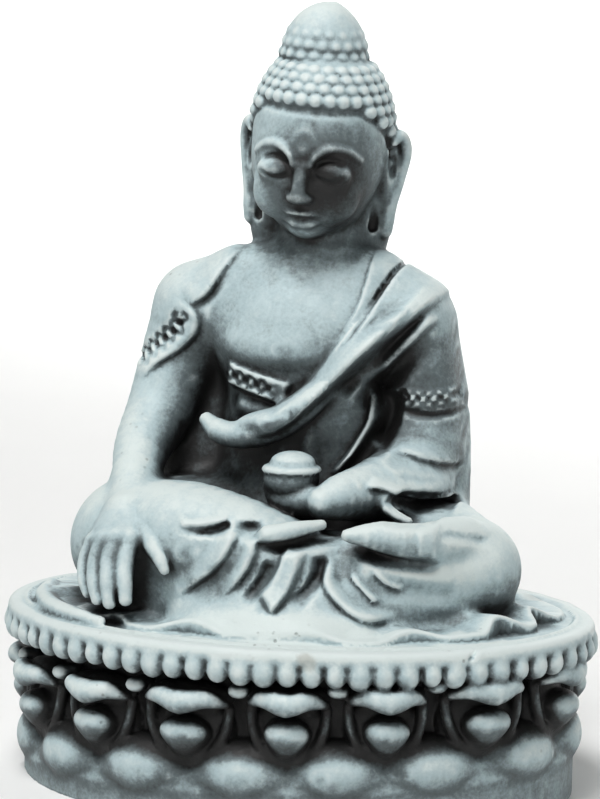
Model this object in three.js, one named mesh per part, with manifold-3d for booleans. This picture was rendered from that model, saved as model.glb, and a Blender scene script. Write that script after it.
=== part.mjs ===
// A seated Buddha on a double lotus plinth, moulded in one piece of fired clay.
// The whole casting is one implicit solid: plain forms are joined with soft seams, then the
// drapery is raised or sunk on them, and the surface is meshed and thinned to a few thousand faces.
// Millimetres, +Z up, the figure faces -Y, origin at the middle of the flat underside.
import * as THREE from "three";
import { mergeVertices } from "three/addons/utils/BufferGeometryUtils.js";
import Module from "manifold-3d";

const { clamp, degToRad, lerp, smoothstep } = THREE.MathUtils;

// Driving dimensions of the plinth. The ring is the ellipse that petals and beads are set out on.
const RING_X = 52;
const RING_Y = 38;
const PLATE_TOP = 34;
// Where the gaps between the petals lie, as shares of the ring: by hand in front, then evenly round.
const FRONT_GAPS = [0.676, 0.747, 0.809, 0.8703, 0.9403];
const BACK_PETALS = 11;
const PETAL = 18;
// The carved band rises so much for each millimetre towards the figure's left.
const SLANT = 0.05;
const BEADS = 70;

// Driving dimensions of the figure.
const HEAD_PIVOT = [0.4, 6, 121];
const HEAD_LEAN = 4.5;
const HEAD_NOD = 7;

// Meshing: the cell the solid is sampled with, and the faces that are kept.
const CELL = 0.8;
const KEPT_FACES = 9700;
const FAR = 40;

// Soft minimum: two distances meet in a fillet about as wide as blend.
function soft(a, b, blend) {
  const near = Math.max(blend - Math.abs(a - b), 0);
  return Math.min(a, b) - (near * near) / (4 * blend);
}

// A smooth bump, 1 at the middle and 0 from q = 1 outwards.
function bump(q) {
  return q < 1 ? (1 - q * q) ** 2 : 0;
}

// A box of grid nodes that holds the signed distance to the casting, negative inside.
class Field {
  constructor(low, high, cell) {
    this.low = low;
    this.cell = cell;
    this.count = [0, 1, 2].map((i) => Math.ceil((high[i] - low[i]) / cell) + 1);
    this.values = new Float32Array(this.count[0] * this.count[1] * this.count[2]).fill(FAR);
  }

  index(i, j, k) {
    return i + this.count[0] * (j + this.count[1] * k);
  }

  // Gives every node in the box the value that rule(x, y, z, value) returns.
  change(box, margin, rule) {
    const span = [0, 1, 2].map((i) => {
      const from = (box.min.getComponent(i) - margin - this.low[i]) / this.cell;
      const to = (box.max.getComponent(i) + margin - this.low[i]) / this.cell;
      return [Math.max(0, Math.floor(from)), Math.min(this.count[i] - 1, Math.ceil(to))];
    });
    for (let k = span[2][0]; k <= span[2][1]; k++) {
      const z = this.low[2] + k * this.cell;
      for (let j = span[1][0]; j <= span[1][1]; j++) {
        const y = this.low[1] + j * this.cell;
        for (let i = span[0][0]; i <= span[0][1]; i++) {
          const at = this.index(i, j, k);
          this.values[at] = rule(this.low[0] + i * this.cell, y, z, this.values[at]);
        }
      }
    }
  }

  join(shape, blend = 1) {
    this.change(shape.box, blend, (x, y, z, v) => soft(v, shape.distance(x, y, z), blend));
  }

  carve(shape, blend = 1) {
    this.change(shape.box, blend, (x, y, z, v) => -soft(-v, shape.distance(x, y, z), blend));
  }

  raise(relief) {
    this.change(relief.box, 0, (x, y, z, v) => v - relief.height(x, y, z));
  }
}

function boxAround(points) {
  return new THREE.Box3().setFromPoints(points.map((p) => new THREE.Vector3(...p)));
}

// Shapes: a bounding box, and the distance to the surface.
function ellipsoid([cx, cy, cz], [rx, ry, rz]) {
  return {
    box: boxAround([
      [cx - rx, cy - ry, cz - rz],
      [cx + rx, cy + ry, cz + rz],
    ]),
    distance(x, y, z) {
      const [px, py, pz] = [(x - cx) / rx, (y - cy) / ry, (z - cz) / rz];
      const reach = Math.hypot(px, py, pz);
      const slope = Math.hypot(px / rx, py / ry, pz / rz);
      return slope < 1e-9 ? -Math.min(rx, ry, rz) : (reach * (reach - 1)) / slope;
    },
  };
}

// A limb follows a smooth curve through [x, y, z, radius] points.
function limb(points, steps = 4) {
  const curve = new THREE.CatmullRomCurve3(points.map((p) => new THREE.Vector3(...p.slice(0, 3))));
  const spans = (points.length - 1) * steps;
  const knots = [];
  for (let n = 0; n <= spans; n++) {
    const at = (n / spans) * (points.length - 1);
    const first = Math.min(Math.floor(at), points.length - 2);
    knots.push([
      ...curve.getPoint(n / spans).toArray(),
      lerp(points[first][3], points[first + 1][3], at - first),
    ]);
  }
  const widest = Math.max(...points.map((p) => p[3]));
  return {
    box: boxAround(knots.map((k) => k.slice(0, 3))).expandByScalar(widest),
    distance(x, y, z) {
      let least = Infinity;
      for (let n = 0; n < spans; n++) {
        const [ax, ay, az, ar] = knots[n];
        const [bx, by, bz, br] = knots[n + 1];
        const [dx, dy, dz] = [bx - ax, by - ay, bz - az];
        const along = (x - ax) * dx + (y - ay) * dy + (z - az) * dz;
        const t = clamp(along / (dx * dx + dy * dy + dz * dz), 0, 1);
        const gap = Math.hypot(x - ax - t * dx, y - ay - t * dy, z - az - t * dz);
        least = Math.min(least, gap - ar - t * (br - ar));
      }
      return least;
    },
  };
}

// The same shape or relief, moved by a matrix that is rigid or shears it only a little.
function placed(thing, matrix) {
  const back = matrix.clone().invert().elements;
  const local = (rule) => (x, y, z) =>
    rule(
      back[0] * x + back[4] * y + back[8] * z + back[12],
      back[1] * x + back[5] * y + back[9] * z + back[13],
      back[2] * x + back[6] * y + back[10] * z + back[14],
    );
  const box = thing.box.clone().applyMatrix4(matrix);
  return thing.height
    ? { box, height: local(thing.height) }
    : { box, distance: local(thing.distance) };
}

// A fold drawn in the front view through [x, z] points, between the depths near and far. Its crest is
// height high, and it falls away over the widths left and right of its run. A width may be a pair, at
// the start and at the end. The crest is flat for so far to each side.
function fold({ points, height, left, right = left, near = -60, far = 14, fade = [0.25, 0.25], flat = 0 }) {
  const run = new THREE.SplineCurve(points.map((p) => new THREE.Vector2(...p)));
  const spans = (points.length - 1) * 4;
  const knots = run.getPoints(spans);
  const [lefts, rights, flats] = [left, right, flat].map((w) => (Array.isArray(w) ? w : [w, w]));
  const widest = Math.max(...lefts, ...rights) + Math.max(...flats);
  const box = boxAround([
    ...knots.map((k) => [k.x - widest, near, k.y - widest]),
    ...knots.map((k) => [k.x + widest, far, k.y + widest]),
  ]);
  const edge = 2;
  return {
    box,
    height(x, y, z) {
      let least = widest;
      let along = 0;
      let side = 1;
      for (let n = 0; n < spans; n++) {
        const [a, b] = [knots[n], knots[n + 1]];
        const [dx, dz] = [b.x - a.x, b.y - a.y];
        const t = clamp(((x - a.x) * dx + (z - a.y) * dz) / (dx * dx + dz * dz), 0, 1);
        const gap = Math.hypot(x - a.x - t * dx, z - a.y - t * dz);
        if (gap < least) {
          least = gap;
          along = (n + t) / spans;
          side = dx * (z - a.y) - dz * (x - a.x);
        }
      }
      const width = lerp(...(side > 0 ? lefts : rights), along);
      const across = bump(Math.max(least - lerp(...flats, along), 0) / width);
      const starts = fade[0] ? smoothstep(along, 0, fade[0]) : 1;
      const ends = fade[1] ? smoothstep(1 - along, 0, fade[1]) : 1;
      const depth = smoothstep(far - y, 0, edge) * smoothstep(y - near, 0, edge);
      return height * across * starts * ends * depth;
    },
  };
}

// Setting out on the ring: shares of its length, counted from +X towards +Y.
const RING_STEPS = 720;
const ringLengths = [0];
for (let n = 1; n <= RING_STEPS; n++) {
  const [a, b] = [n - 1, n].map((m) => (2 * Math.PI * m) / RING_STEPS);
  const dx = RING_X * (Math.cos(b) - Math.cos(a));
  const dy = RING_Y * (Math.sin(b) - Math.sin(a));
  ringLengths.push(ringLengths[n - 1] + Math.hypot(dx, dy));
}

// The frame of a petal or bead: X along the ring, Y outwards, Z up.
function ringFrame(share) {
  const length = (share - Math.floor(share)) * ringLengths[RING_STEPS];
  const step = ringLengths.findIndex((s) => s > length) - 1;
  const part = (length - ringLengths[step]) / (ringLengths[step + 1] - ringLengths[step]);
  const angle = (2 * Math.PI * (step + part)) / RING_STEPS;
  const out = new THREE.Vector3(Math.cos(angle) / RING_X, Math.sin(angle) / RING_Y, 0).normalize();
  const along = new THREE.Vector3(out.y, -out.x, 0);
  return new THREE.Matrix4()
    .makeBasis(along, out, new THREE.Vector3(0, 0, 1))
    .setPosition(RING_X * Math.cos(angle), RING_Y * Math.sin(angle), 0);
}

// How far a point lies outside the ring, in plan.
function ringOffset(x, y) {
  const reach = Math.hypot(x / RING_X, y / RING_Y);
  const slope = Math.hypot(x / RING_X ** 2, y / RING_Y ** 2);
  return slope < 1e-9 ? -RING_Y : (reach * (reach - 1)) / slope;
}

// One tier of the plinth: everything within reach of the ring between two heights.
function tier(reach, low, high, round) {
  return {
    box: boxAround([
      [-RING_X - reach, -RING_Y - reach, low],
      [RING_X + reach, RING_Y + reach, high],
    ]),
    distance(x, y, z) {
      const out = ringOffset(x, y) - reach + round;
      const up = Math.abs(z - (low + high) / 2) - (high - low) / 2 + round;
      return Math.hypot(Math.max(out, 0), Math.max(up, 0)) + Math.min(Math.max(out, up), 0) - round;
    },
  };
}

// The same frame, as high as the slant of the carved band puts it.
function slantFrame(frame) {
  return new THREE.Matrix4().makeTranslation(0, 0, SLANT * frame.elements[12]).multiply(frame);
}

// A shape that rises with the carved band, sheared along its height.
function slanted(shape) {
  const shear = new THREE.Matrix4();
  shear.elements[2] = SLANT;
  return placed(shape, shear);
}

// The middles of the petals and of the gaps between them. Each petal has its width beside it.
function petalPlaces() {
  const [first, last] = [FRONT_GAPS[0], FRONT_GAPS.at(-1)];
  const gaps = [...FRONT_GAPS];
  for (let n = 1; n <= BACK_PETALS; n++) gaps.push(last + ((1 + first - last) * n) / BACK_PETALS);
  const petals = gaps.slice(1).map((gap, n) => ({
    frame: slantFrame(ringFrame((gap + gaps[n]) / 2)),
    wide: ((gap - gaps[n]) * ringLengths[RING_STEPS]) / PETAL,
  }));
  return { petals, gaps: gaps.slice(1).map((gap) => slantFrame(ringFrame(gap))) };
}

// A run from left to right, from its left half that ends at the middle.
function mirrored(points) {
  return [...points, ...points.slice(0, -1).reverse().map(([x, ...rest]) => [-x, ...rest])];
}

// A drooping lip over a hollow, a boss in the hollow, and a low ridge that runs round them.
function addPetal(field, { frame, wide }) {
  const stretched = (points) => mirrored(points).map(([x, ...rest]) => [x * wide, ...rest]);
  const lip = stretched([[-6.8, 1.4, 23.2, 0.9], [-4, 3.7, 24.3, 1.7], [0, 4.6, 23.6, 2.3]]);
  const outer = stretched([[-7.1, -0.2, 22, 1], [-6.6, 0.3, 18, 1], [-4.4, 0.5, 13.8, 1], [0, 0, 11.8, 1]]);
  field.join(placed(limb(outer, 2), frame), 0.8);
  field.join(placed(ellipsoid([0, 1.8, 17.6], [4.4 * wide, 3.8, 2.9]), frame), 0.6);
  field.join(placed(ellipsoid([0, 0.8, 15.6], [3 * wide, 3, 3]), frame), 2);
  field.join(placed(limb(lip, 2), frame), 0.5);
}

function addPlinth(field) {
  field.join(tier(-2.6, 2, 31, 0.5), 0.5);
  field.join(slanted(tier(2.4, -6, 7, 0.8)), 1);
  const { petals, gaps } = petalPlaces();
  for (const frame of gaps) field.join(placed(ellipsoid([0, -1.6, 9.6], [8.6, 5.6, 6.2]), frame), 0.6);
  for (const { frame, wide } of petals) {
    field.join(placed(ellipsoid([0, -2, 7.6], [8 * wide, 4.2, 4]), frame), 2);
    field.join(placed(ellipsoid([0, -2.4, 17.6], [7.4 * wide, 3.4, 6.6]), frame), 0.5);
    field.join(placed(ellipsoid([0, -0.8, 24], [7.8 * wide, 3.4, 2.4]), frame), 0.8);
  }
  for (const frame of gaps) {
    field.join(placed(ellipsoid([0, 2.2, 25.5], [2.1, 1.7, 1.4]), frame), 0.5);
    field.join(placed(ellipsoid([0, 0, 25.7], [2, 2.6, 1.3]), frame), 0.5);
  }
  for (const petal of petals) addPetal(field, petal);
  for (let n = 0; n < BEADS; n++) {
    const size = 1 + 0.07 * Math.sin(5 * n) + 0.05 * Math.sin(3 * n + 1);
    const bead = ellipsoid([0, 4.3, 30.2 - size / 2], [2.2 * size, 2.3, 2.6 * size]);
    field.join(placed(bead, ringFrame((n + 0.5) / BEADS)), 0.7);
  }
  field.join(tier(5.8, 31, PLATE_TOP, 1.4), 1);
}

function addBody(field) {
  field.join(ellipsoid([0, 10, 48], [26, 17, 19]), 2);
  field.join(ellipsoid([-0.5, 9, 68], [17.5, 12.5, 18]), 5);
  field.join(ellipsoid([-1, 8, 86], [20, 13.5, 14.5]), 5);
  const loop = [
    [9, 1.5, 80.5, 1.4],
    [4, -2.4, 76, 2.6],
    [-0.4, -5.6, 72, 3.1],
    [-5.5, -6.8, 69, 3.1],
    [-11, -6.6, 67.6, 2.6],
    [-15.6, -5, 68.2, 2.3],
    [-18.4, -3, 69.8, 1.5],
  ];
  field.join(limb(loop), 0.8);
  const shoulders = [
    [-23.5, 10, 90.5, 9.2],
    [-11, 9.5, 96, 8],
    [9, 9.5, 96, 8],
    [17.5, 10, 90.5, 9],
  ];
  field.join(limb(shoulders), 4);
  field.join(limb([[0.5, 12.4, 95, 11], [0.5, 13, 108, 9.2]]), 2.4);
  for (const side of [-1, 1]) {
    field.join(limb([[side * 20, 15, 88, 7], [side * 22, 15, 70, 8], [side * 21, 12, 50, 10]]), 4);
  }
  // The body reaches the inner side of the right arm.
  field.join(limb([[-24, 13, 70, 7], [-25, 11, 58, 8]]), 3);
}

function addLegs(field) {
  const rightThigh = [[-10, 12, 46, 13], [-19, 3, 45.6, 12.6], [-29.6, -8, 46.4, 12.2]];
  const rightShin = [
    [-30, -12, 46.4, 12.2],
    [-17.4, -18, 48.4, 11.4],
    [-6, -20.6, 47.8, 9.8],
    [5, -22, 46, 7.2],
  ];
  field.join(limb(rightThigh), 3);
  field.join(limb(rightShin), 3);
  const under = [[-31, -13, 39, 6], [-14, -22.5, 39, 6.4], [8, -25, 39, 6.4], [31, -12, 39, 6]];
  field.join(limb(under), 3);
  const leftThigh = [[10, 12, 47, 14], [24, 3, 45.5, 12.4], [34, -4, 43.8, 9.8]];
  const leftShin = [[34.6, -6, 44.4, 9.4], [28, -13, 44.6, 8], [22.4, -19, 45.4, 5], [19, -22.6, 46, 2.6]];
  field.join(limb(leftThigh), 3);
  field.join(limb(leftShin), 2);
  const spread = [[-14, -27, 36, 2.6], [-2, -31.6, 35.6, 3.4], [8, -32.4, 35.4, 3.2], [18, -28, 35.6, 2.6]];
  field.join(limb(spread), 4);
  const foot = [
    [15.4, -26, 52.8, 1.2],
    [19, -24.6, 52.6, 2.4],
    [24.4, -21.6, 52, 3.8],
    [30, -16.6, 51, 4.6],
    [34, -10, 50, 5],
  ];
  field.join(limb(foot), 1.2);
  field.join(limb([[20, -22.6, 51.8, 2], [29, -17.4, 50.4, 4]]), 1);
  field.join(limb([[3, -19, 46.4, 6.4], [17, -17.6, 45.4, 6.4]]), 3);
  const tongue = [[-2, -28, 52.4, 1], [1.4, -28.8, 52.4, 2], [5.4, -27, 53.2, 1.8], [9.8, -23.2, 54, 1]];
  field.join(limb(tongue), 0.5);
}

function addArms(field) {
  const leftArm = [
    [17.5, 10, 90, 8.8],
    [20.2, 10, 78, 8.2],
    [21, 8, 66, 9],
    [20.4, 2, 60.6, 7.6],
    [15.6, -8, 58.6, 5.6],
    [11.4, -14.4, 57.9, 4.4],
    [8.6, -18, 57.2, 3],
  ];
  field.join(limb(leftArm), 2);
  field.join(limb([[17, -8, 59, 3.4], [20.6, -12.6, 56.6, 2], [23.6, -12.4, 54, 1.2]], 2), 1);
  const rightArm = [
    [-23.8, 10, 90, 9.2],
    [-27.4, 8.5, 80, 8],
    [-29.6, 4, 71, 6.9],
    [-31, -4.4, 63.8, 5.5],
    [-30, -11.6, 58.4, 4.5],
  ];
  field.join(limb(rightArm), 2);
}

function addHands(field) {
  field.join(limb([[-30, -11.6, 58.4, 4.5], [-29.2, -17, 55, 4.1], [-29, -21.4, 51.6, 4.4]]), 1.5);
  field.join(ellipsoid([-29, -21, 46.4], [6.6, 7.2, 7.4]), 2);
  const wrist = [-28.6, -20.6, 53, 3.8];
  const fingers = [
    [[-33, -26, 48.4, 2.2], [-34.4, -27.6, 45.4, 1.6], [-34, -29.6, 42, 1.4], [-33, -30.8, 39.8, 1.1]],
    [[-30.6, -27.4, 49.4, 2.2], [-31.9, -29.2, 45.8, 1.7], [-31.5, -31.4, 42, 1.5], [-30.6, -32.4, 39, 1.2]],
    [[-28.2, -27.8, 49.8, 2.2], [-29.1, -30, 46.2, 1.8], [-28.6, -32.2, 42.2, 1.6], [-28, -33, 38.6, 1.3]],
    [[-25.8, -27.4, 49.8, 2.2], [-26.1, -29.8, 46.4, 1.9], [-25.5, -32, 42.6, 1.6], [-24.9, -33, 39.4, 1.3]],
  ];
  for (const finger of fingers) {
    field.join(limb([wrist, finger[0]], 1), 1.4);
    field.join(limb(finger), 0.5);
  }
  const thumb = [
    [-25.6, -21, 53, 3],
    [-23.2, -25.6, 51, 2.1],
    [-21, -28.6, 48.8, 1.7],
    [-19.2, -30, 46.8, 1.4],
    [-18.2, -30.6, 45, 1],
  ];
  field.join(limb(thumb), 0.6);
  field.join(limb([[6, -16, 57, 3], [0.6, -14.6, 57, 3.2], [-2.4, -12.4, 59, 2]]), 0.8);
  // The alms bowl: its body, its rim and its lid.
  field.join(ellipsoid([1.4, -13.4, 60.8], [5.3, 5.3, 4.4]), 0.5);
  field.join(ellipsoid([1.4, -13.4, 62.6], [5.7, 5.7, 1.6]), 0.3);
  field.join(ellipsoid([1.6, -13.4, 63.9], [4.3, 4.3, 2.2]), 0.2);
}

const headFrame = new THREE.Matrix4()
  .makeRotationFromEuler(new THREE.Euler(degToRad(HEAD_NOD), degToRad(HEAD_LEAN), 0, "XYZ"))
  .setPosition(...HEAD_PIVOT);

// The head in its own frame: X to the figure's left, Y back, Z up, origin between the ears.
const CAP = [[0, 2.4, 4.5], [14, 14.9, 18.8]];
const TOPKNOT = [[-0.8, 3, 19.2], [8.3, 8.3, 10.2]];
// The skull, forms of [centre, radii], each with the width of the fillet that joins it.
const SKULL = [
  [[[0, 2.4, 4.5], [13.4, 14.2, 18]], 3],
  [[[0, -1, -1.3], [12.2, 12.2, 12.6]], 2],
  [[[0, -1.2, -6.4], [9.4, 9.6, 8.8]], 2],
];

// The face divides in thirds, from hairline to brow, to the foot of the nose, to the chin.
const BROW = 1.9;
const EYE = -0.9;
const NOSE = -6.6;
const MOUTH = -9.9;
const CHIN = -14;

// A point of the face, so far in front of the skin.
function onFace(x, z, proud) {
  const forms = SKULL.map(([form, blend]) => [ellipsoid(...form), blend]);
  const skin = (y) => forms.reduce((d, [form, blend]) => soft(d, form.distance(x, y, z), blend), FAR);
  let y = -18;
  while (y < 0 && skin(y) > 0) y += 0.05;
  return [x, y - proud, z];
}

function addHead(field) {
  const add = (shape, blend) => field.join(placed(shape, headFrame), blend);
  const cut = (shape, blend) => field.carve(placed(shape, headFrame), blend);
  const onSkin = ([x, z, proud, r]) => [...onFace(x, z, proud), r];
  const raised = (points, blend) => add(limb(points.map(onSkin)), blend);
  for (const [form, blend] of SKULL) add(ellipsoid(...form), blend);
  add(ellipsoid(...TOPKNOT), 0.4);
  add(limb([[-0.6, 3, 23.7, 5.6], [0.5, 3, 28.2, 1.5]]), 1);
  for (const side of [-1, 1]) {
    add(ellipsoid([side * 9.8, 6, -12.6], [4.4, 5, 9.4]), 2);
    cut(ellipsoid(onFace(side * 5.4, EYE + 0.9, 2.3), [5.2, 3, 3.4]), 1.8);
    add(ellipsoid(onFace(side * 5.2, EYE - 0.4, -1.5), [4, 2.2, 2.4]), 1);
    const brow = [
      [side * 1.7, BROW - 1.6, -0.1, 0.7],
      [side * 2.6, BROW + 0.2, -0.1, 0.8],
      [side * 5, BROW + 1.7, -0.1, 0.8],
      [side * 7.8, BROW + 1.4, -0.1, 0.7],
      [side * 10.2, BROW - 0.4, -0.1, 0.5],
    ];
    raised(brow, 0.8);
    const ear = [
      [12.6, 3, -1, 1],
      [13.4, 2.6, 3.2, 1.2],
      [15, 4.4, 5, 1.3],
      [16, 6, 2.4, 1.3],
      [15.4, 5.4, -3, 1.2],
      [14.2, 4.4, -8, 1.4],
      [13.4, 4, -11.4, 1.9],
      [13.2, 4, -13.6, 1.8],
    ];
    add(ellipsoid([side * 13, 5, -3], [2.2, 2.6, 8.4]), 1);
    add(limb(ear.map(([x, ...rest]) => [side * x, ...rest]), 2), 0.5);
    add(ellipsoid(onFace(side * 5.9, NOSE + 0.2, -2.5), [4.2, 2.9, 4.4]), 2.4);
    add(ellipsoid(onFace(side * 1.5, NOSE + 0.5, 0.1), [1.2, 1.5, 1]), 0.6);
    const lip = [[0.5, 0.7, 0, 0.9], [2, 0.7, -0.2, 0.85], [4, 0.1, -0.7, 0.6]];
    raised(lip.map(([x, z, ...rest]) => [side * x, MOUTH + z, ...rest]), 0.5);
  }
  raised([[-3.2, MOUTH - 0.7, -0.5, 0.7], [0, MOUTH - 1.4, -0.1, 1.1], [3.2, MOUTH - 0.7, -0.5, 0.7]], 0.4);
  raised([[0, BROW, -2, 1.2], [0, -2.6, 0.3, 1.2], [0, NOSE + 1, 1.3, 1.5]], 1.4);
  add(ellipsoid(onFace(0, CHIN + 1.4, -1.6), [3.2, 2.4, 2.2]), 1.6);
}

// Snail curls pressed on the cap or the topknot, in rows of [polar angle, radius, how proud].
function addCurls(field, [centre, radii], rows, lowest = () => -Infinity) {
  rows.forEach(([angle, curl, proud], row) => {
    const polar = degToRad(angle);
    const count = Math.round((Math.PI * radii[0] * Math.sin(polar)) / (0.94 * curl));
    const [rx, ry, rz] = radii.map((radius) => radius - curl + proud);
    for (let n = 0; n < count; n++) {
      const turn = (2 * Math.PI * (n + 0.5 * (row % 2))) / count;
      const spot = [
        centre[0] + rx * Math.sin(polar) * Math.sin(turn),
        centre[1] - ry * Math.sin(polar) * Math.cos(turn),
        centre[2] + rz * Math.cos(polar),
      ];
      if (spot[2] < lowest(turn)) continue;
      field.join(placed(ellipsoid(spot, [curl, curl, 0.85 * curl]), headFrame), 0.25);
    }
  });
}

const CAP_ROWS = Array.from({ length: 13 }, (_, n) => [43 + 7 * n, 1.45, 0.25 + 0.07 * n]);
const KNOT_ROWS = [[60, 1.3, 0.25], [74, 1.4, 0.4], [88, 1.45, 0.6]];

// The lowest height of the hair, by the angle round the head from the brow.
function hairline(turn) {
  const away = Math.abs(Math.atan2(Math.sin(turn), Math.cos(turn)));
  const temple = smoothstep(away, degToRad(50), degToRad(85));
  const nape = smoothstep(away, degToRad(85), degToRad(115));
  return 10.6 - 4.6 * temple - 15 * nape;
}

// Drapery, seen from the front as [x, z] runs from the shoulder, hip or knee to the loose end.
const FOLDS = [
  // The sash: a heavy rolled edge from the left shoulder, turned up in a loop at the right side.
  {
    points: [[27, 97], [24, 94.4], [19, 89.8], [13, 84.4], [7.5, 78.8], [1.8, 73.4], [-3, 69.8], [-8, 68.2]],
    height: 3.2, left: 1.3, right: [3.6, 4.6], fade: [0.3, 0.25],
  },
  {
    points: [[21.4, 101], [18.5, 95.3], [15, 90.6], [10.8, 85.4], [6.2, 79.9], [1.2, 74.8], [-4, 71.4]],
    height: 1.5, left: 1.4, right: 1.2, flat: [3, 0.8], fade: [0.35, 0.4],
  },
  // Edge of the robe where it lies on the chest, and the crease beside it.
  { points: [[12.6, 104.5], [12, 97], [10, 90], [5, 82]], height: 0.7, left: 4, right: 0.8 },
  { points: [[18.4, 102], [16, 98.6], [12.4, 91], [8, 84.3]], height: -1, left: 0.8, right: 0.9 },
  // Two lesser folds under the sash, with deep valleys between them.
  {
    points: [[24, 92], [18, 86.4], [11.5, 80.4], [7, 75.6]],
    height: -1.6, left: 2.6, right: 2, fade: [0.5, 0.2],
  },
  { points: [[25.5, 91.6], [22.5, 88.4], [18, 83.6], [12.9, 77.6]], height: 1.6, left: 1, right: 2.4 },
  {
    points: [[25, 87], [18.6, 82], [14, 77], [12, 72]],
    height: -2.2, left: 4, right: 3.4, fade: [0.4, 0.3],
  },
  // A thin fold that falls from under the arm to the bowl.
  {
    points: [[12.6, 77.7], [13.5, 74.6], [13.6, 71], [11.6, 66.6], [9, 62.6], [6.6, 60]],
    height: 2.2, left: 1.2, right: 1.4, near: -8, far: 8,
  },
  { points: [[17, 77], [17, 71], [14.6, 66]], height: -2.6, left: 3, right: 2.4, near: -6, far: 8 },
  // Breast, belt and the hollow between them.
  {
    points: [[-15.8, 87.5], [-13, 84.8], [-8.6, 83.6], [-2, 83.6], [4, 85]],
    height: 1, left: 6, right: 4,
  },
  {
    points: [[-15.6, 79.3], [-10, 77.7], [-4.8, 76.3], [-1.4, 75.6]],
    height: 1.6, left: 1, flat: 1.7, fade: [0.12, 0.2],
  },
  { points: [[-14, 73.4], [-9, 72], [-3, 71.6]], height: 1, left: 2.6, right: 3 },
  // Robe over the right shoulder and upper arm: its edge, and the worked band at its hem.
  {
    points: [[-14.6, 103.6], [-17.7, 98.6], [-20.4, 94], [-24.4, 92]],
    height: 1.1, left: 1.2, right: 5,
  },
  {
    points: [[-16.2, 98.6], [-19, 94], [-23, 90.6]],
    height: -0.5, left: 1.6, right: 0.9, far: 8, fade: [0.4, 0.4],
  },
  {
    points: [[-27, 92.6], [-22.6, 90.4], [-22, 87], [-25, 83.4], [-30, 80.2], [-34, 76]],
    height: 1.2, left: 1, right: 3.6, far: 16,
  },
  // Left sleeve: worked band, and the folds at the elbow.
  { points: [[19, 76], [24, 75.4], [30, 76.4]], height: 1.2, left: 1.9, far: 20 },
  { points: [[18.6, 73.2], [24.6, 72.2], [30, 73]], height: -0.8, left: 1, right: 1.2, far: 20 },
  { points: [[18, 65.4], [24.3, 63.4], [30, 61.4]], height: -1.1, left: 1.6, right: 2, far: 12 },
  { points: [[16, 61], [22, 59.6], [30, 58]], height: 1.2, left: 2, right: 1.2, far: 8 },
  { points: [[19.6, 58.4], [24, 56], [31.4, 55.6]], height: -2.6, left: 1.2, right: 1.8, far: 8 },
  // Cloth drawn over the right shin.
  { points: [[-16.4, 53.6], [-12, 53.9], [-6.4, 55]], height: 0.7, left: 0.9, far: -16 },
  {
    points: [[-16.6, 52.2], [-13, 52.1], [-9, 52.5], [-6, 53.8]],
    height: -1.6, left: [0.5, 1.9], right: [0.5, 1.7], fade: [0.7, 0.2], far: -16,
  },
  {
    points: [[-6, 53.2], [-3.8, 53], [-1.6, 53], [0.4, 53.8]],
    height: -1.7, left: 2, right: 1.7, fade: [0.4, 0.5], far: -16,
  },
  {
    points: [[-5, 53], [-6.1, 49.8], [-8.9, 45.9], [-13, 42.6], [-18.4, 39]],
    height: 1.4, left: 1, right: 3.6, fade: [0.1, 0.4],
  },
  {
    points: [[-1.5, 51.8], [-1.5, 49], [-2.8, 46], [-4.8, 43.2], [-7.6, 40.6]],
    height: 1.2, left: 1, right: 2.8, fade: [0.1, 0.4],
  },
  {
    points: [[-0.6, 50.6], [4, 50.2], [9, 51.2], [14, 51.4]],
    height: -1.2, left: 1.9, right: 1.6, fade: [0.3, 0.2], far: -16,
  },
  {
    points: [[6.2, 50.4], [5.2, 46], [3.6, 42.4], [1.4, 39.8]],
    height: 1.7, left: 1.4, right: 1.4, flat: [1, 1.4], fade: [0.1, 0.25],
  },
  { points: [[9.6, 49], [10, 46], [8.8, 42.8], [6, 40]], height: -1.4, left: 2.4, right: 1.4 },
  { points: [[1.6, 48], [0.2, 44], [-2.6, 40]], height: -1, left: 1.8, right: 1.4 },
  // The band of cloth over the ankle, and the crease beside it.
  { points: [[29.6, 55.4], [29.8, 52.4], [29.6, 48.4]], height: 0.5, left: 0.6, flat: 1.2, far: -10 },
  { points: [[31.6, 53], [35, 52], [39.5, 50.2]], height: -0.5, left: 1.4, right: 1.2, far: -6 },
  {
    points: [[15.6, 50.4], [20, 48.6], [26, 47.2], [32.4, 46.8]],
    height: -1.2, left: 2, right: 1.8, far: -10,
  },
  { points: [[22, 44], [28, 42.4], [35, 41.6]], height: -0.5, left: 3, right: 3, far: -4 },
  // Folds that swing from the ankle round the left shin.
  {
    points: [[11.2, 47.3], [13.6, 43], [18.4, 39.4], [25.2, 37.6]],
    height: 1.3, left: 1.4, right: 1.8,
  },
  { points: [[15.6, 46], [19, 42.8], [21.6, 40.4]], height: 0.8, left: 0.9 },
  { points: [[20.2, 47], [22.6, 44.2], [25.6, 42.8]], height: 0.8, left: 0.9 },
];

// Cloth spread on the plate under the figure. Its hem waves in and out, and lifts in small arches.
// Each arch is [angle from +X round to +Y, half width in degrees, height in mm].
const ARCHES = [
  [-29, 9, 2.2],
  [-54, 9, 1.5],
  [-77, 9, 1],
  [-104, 10, 1.8],
  [-124, 6, 1],
  [-158, 9, 1.2],
  [-9, 8, 2],
  [32, 8, 1.2],
  [62, 8, 1.2],
  [90, 8, 1.2],
  [118, 8, 1.2],
  [150, 8, 1.2],
];

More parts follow.
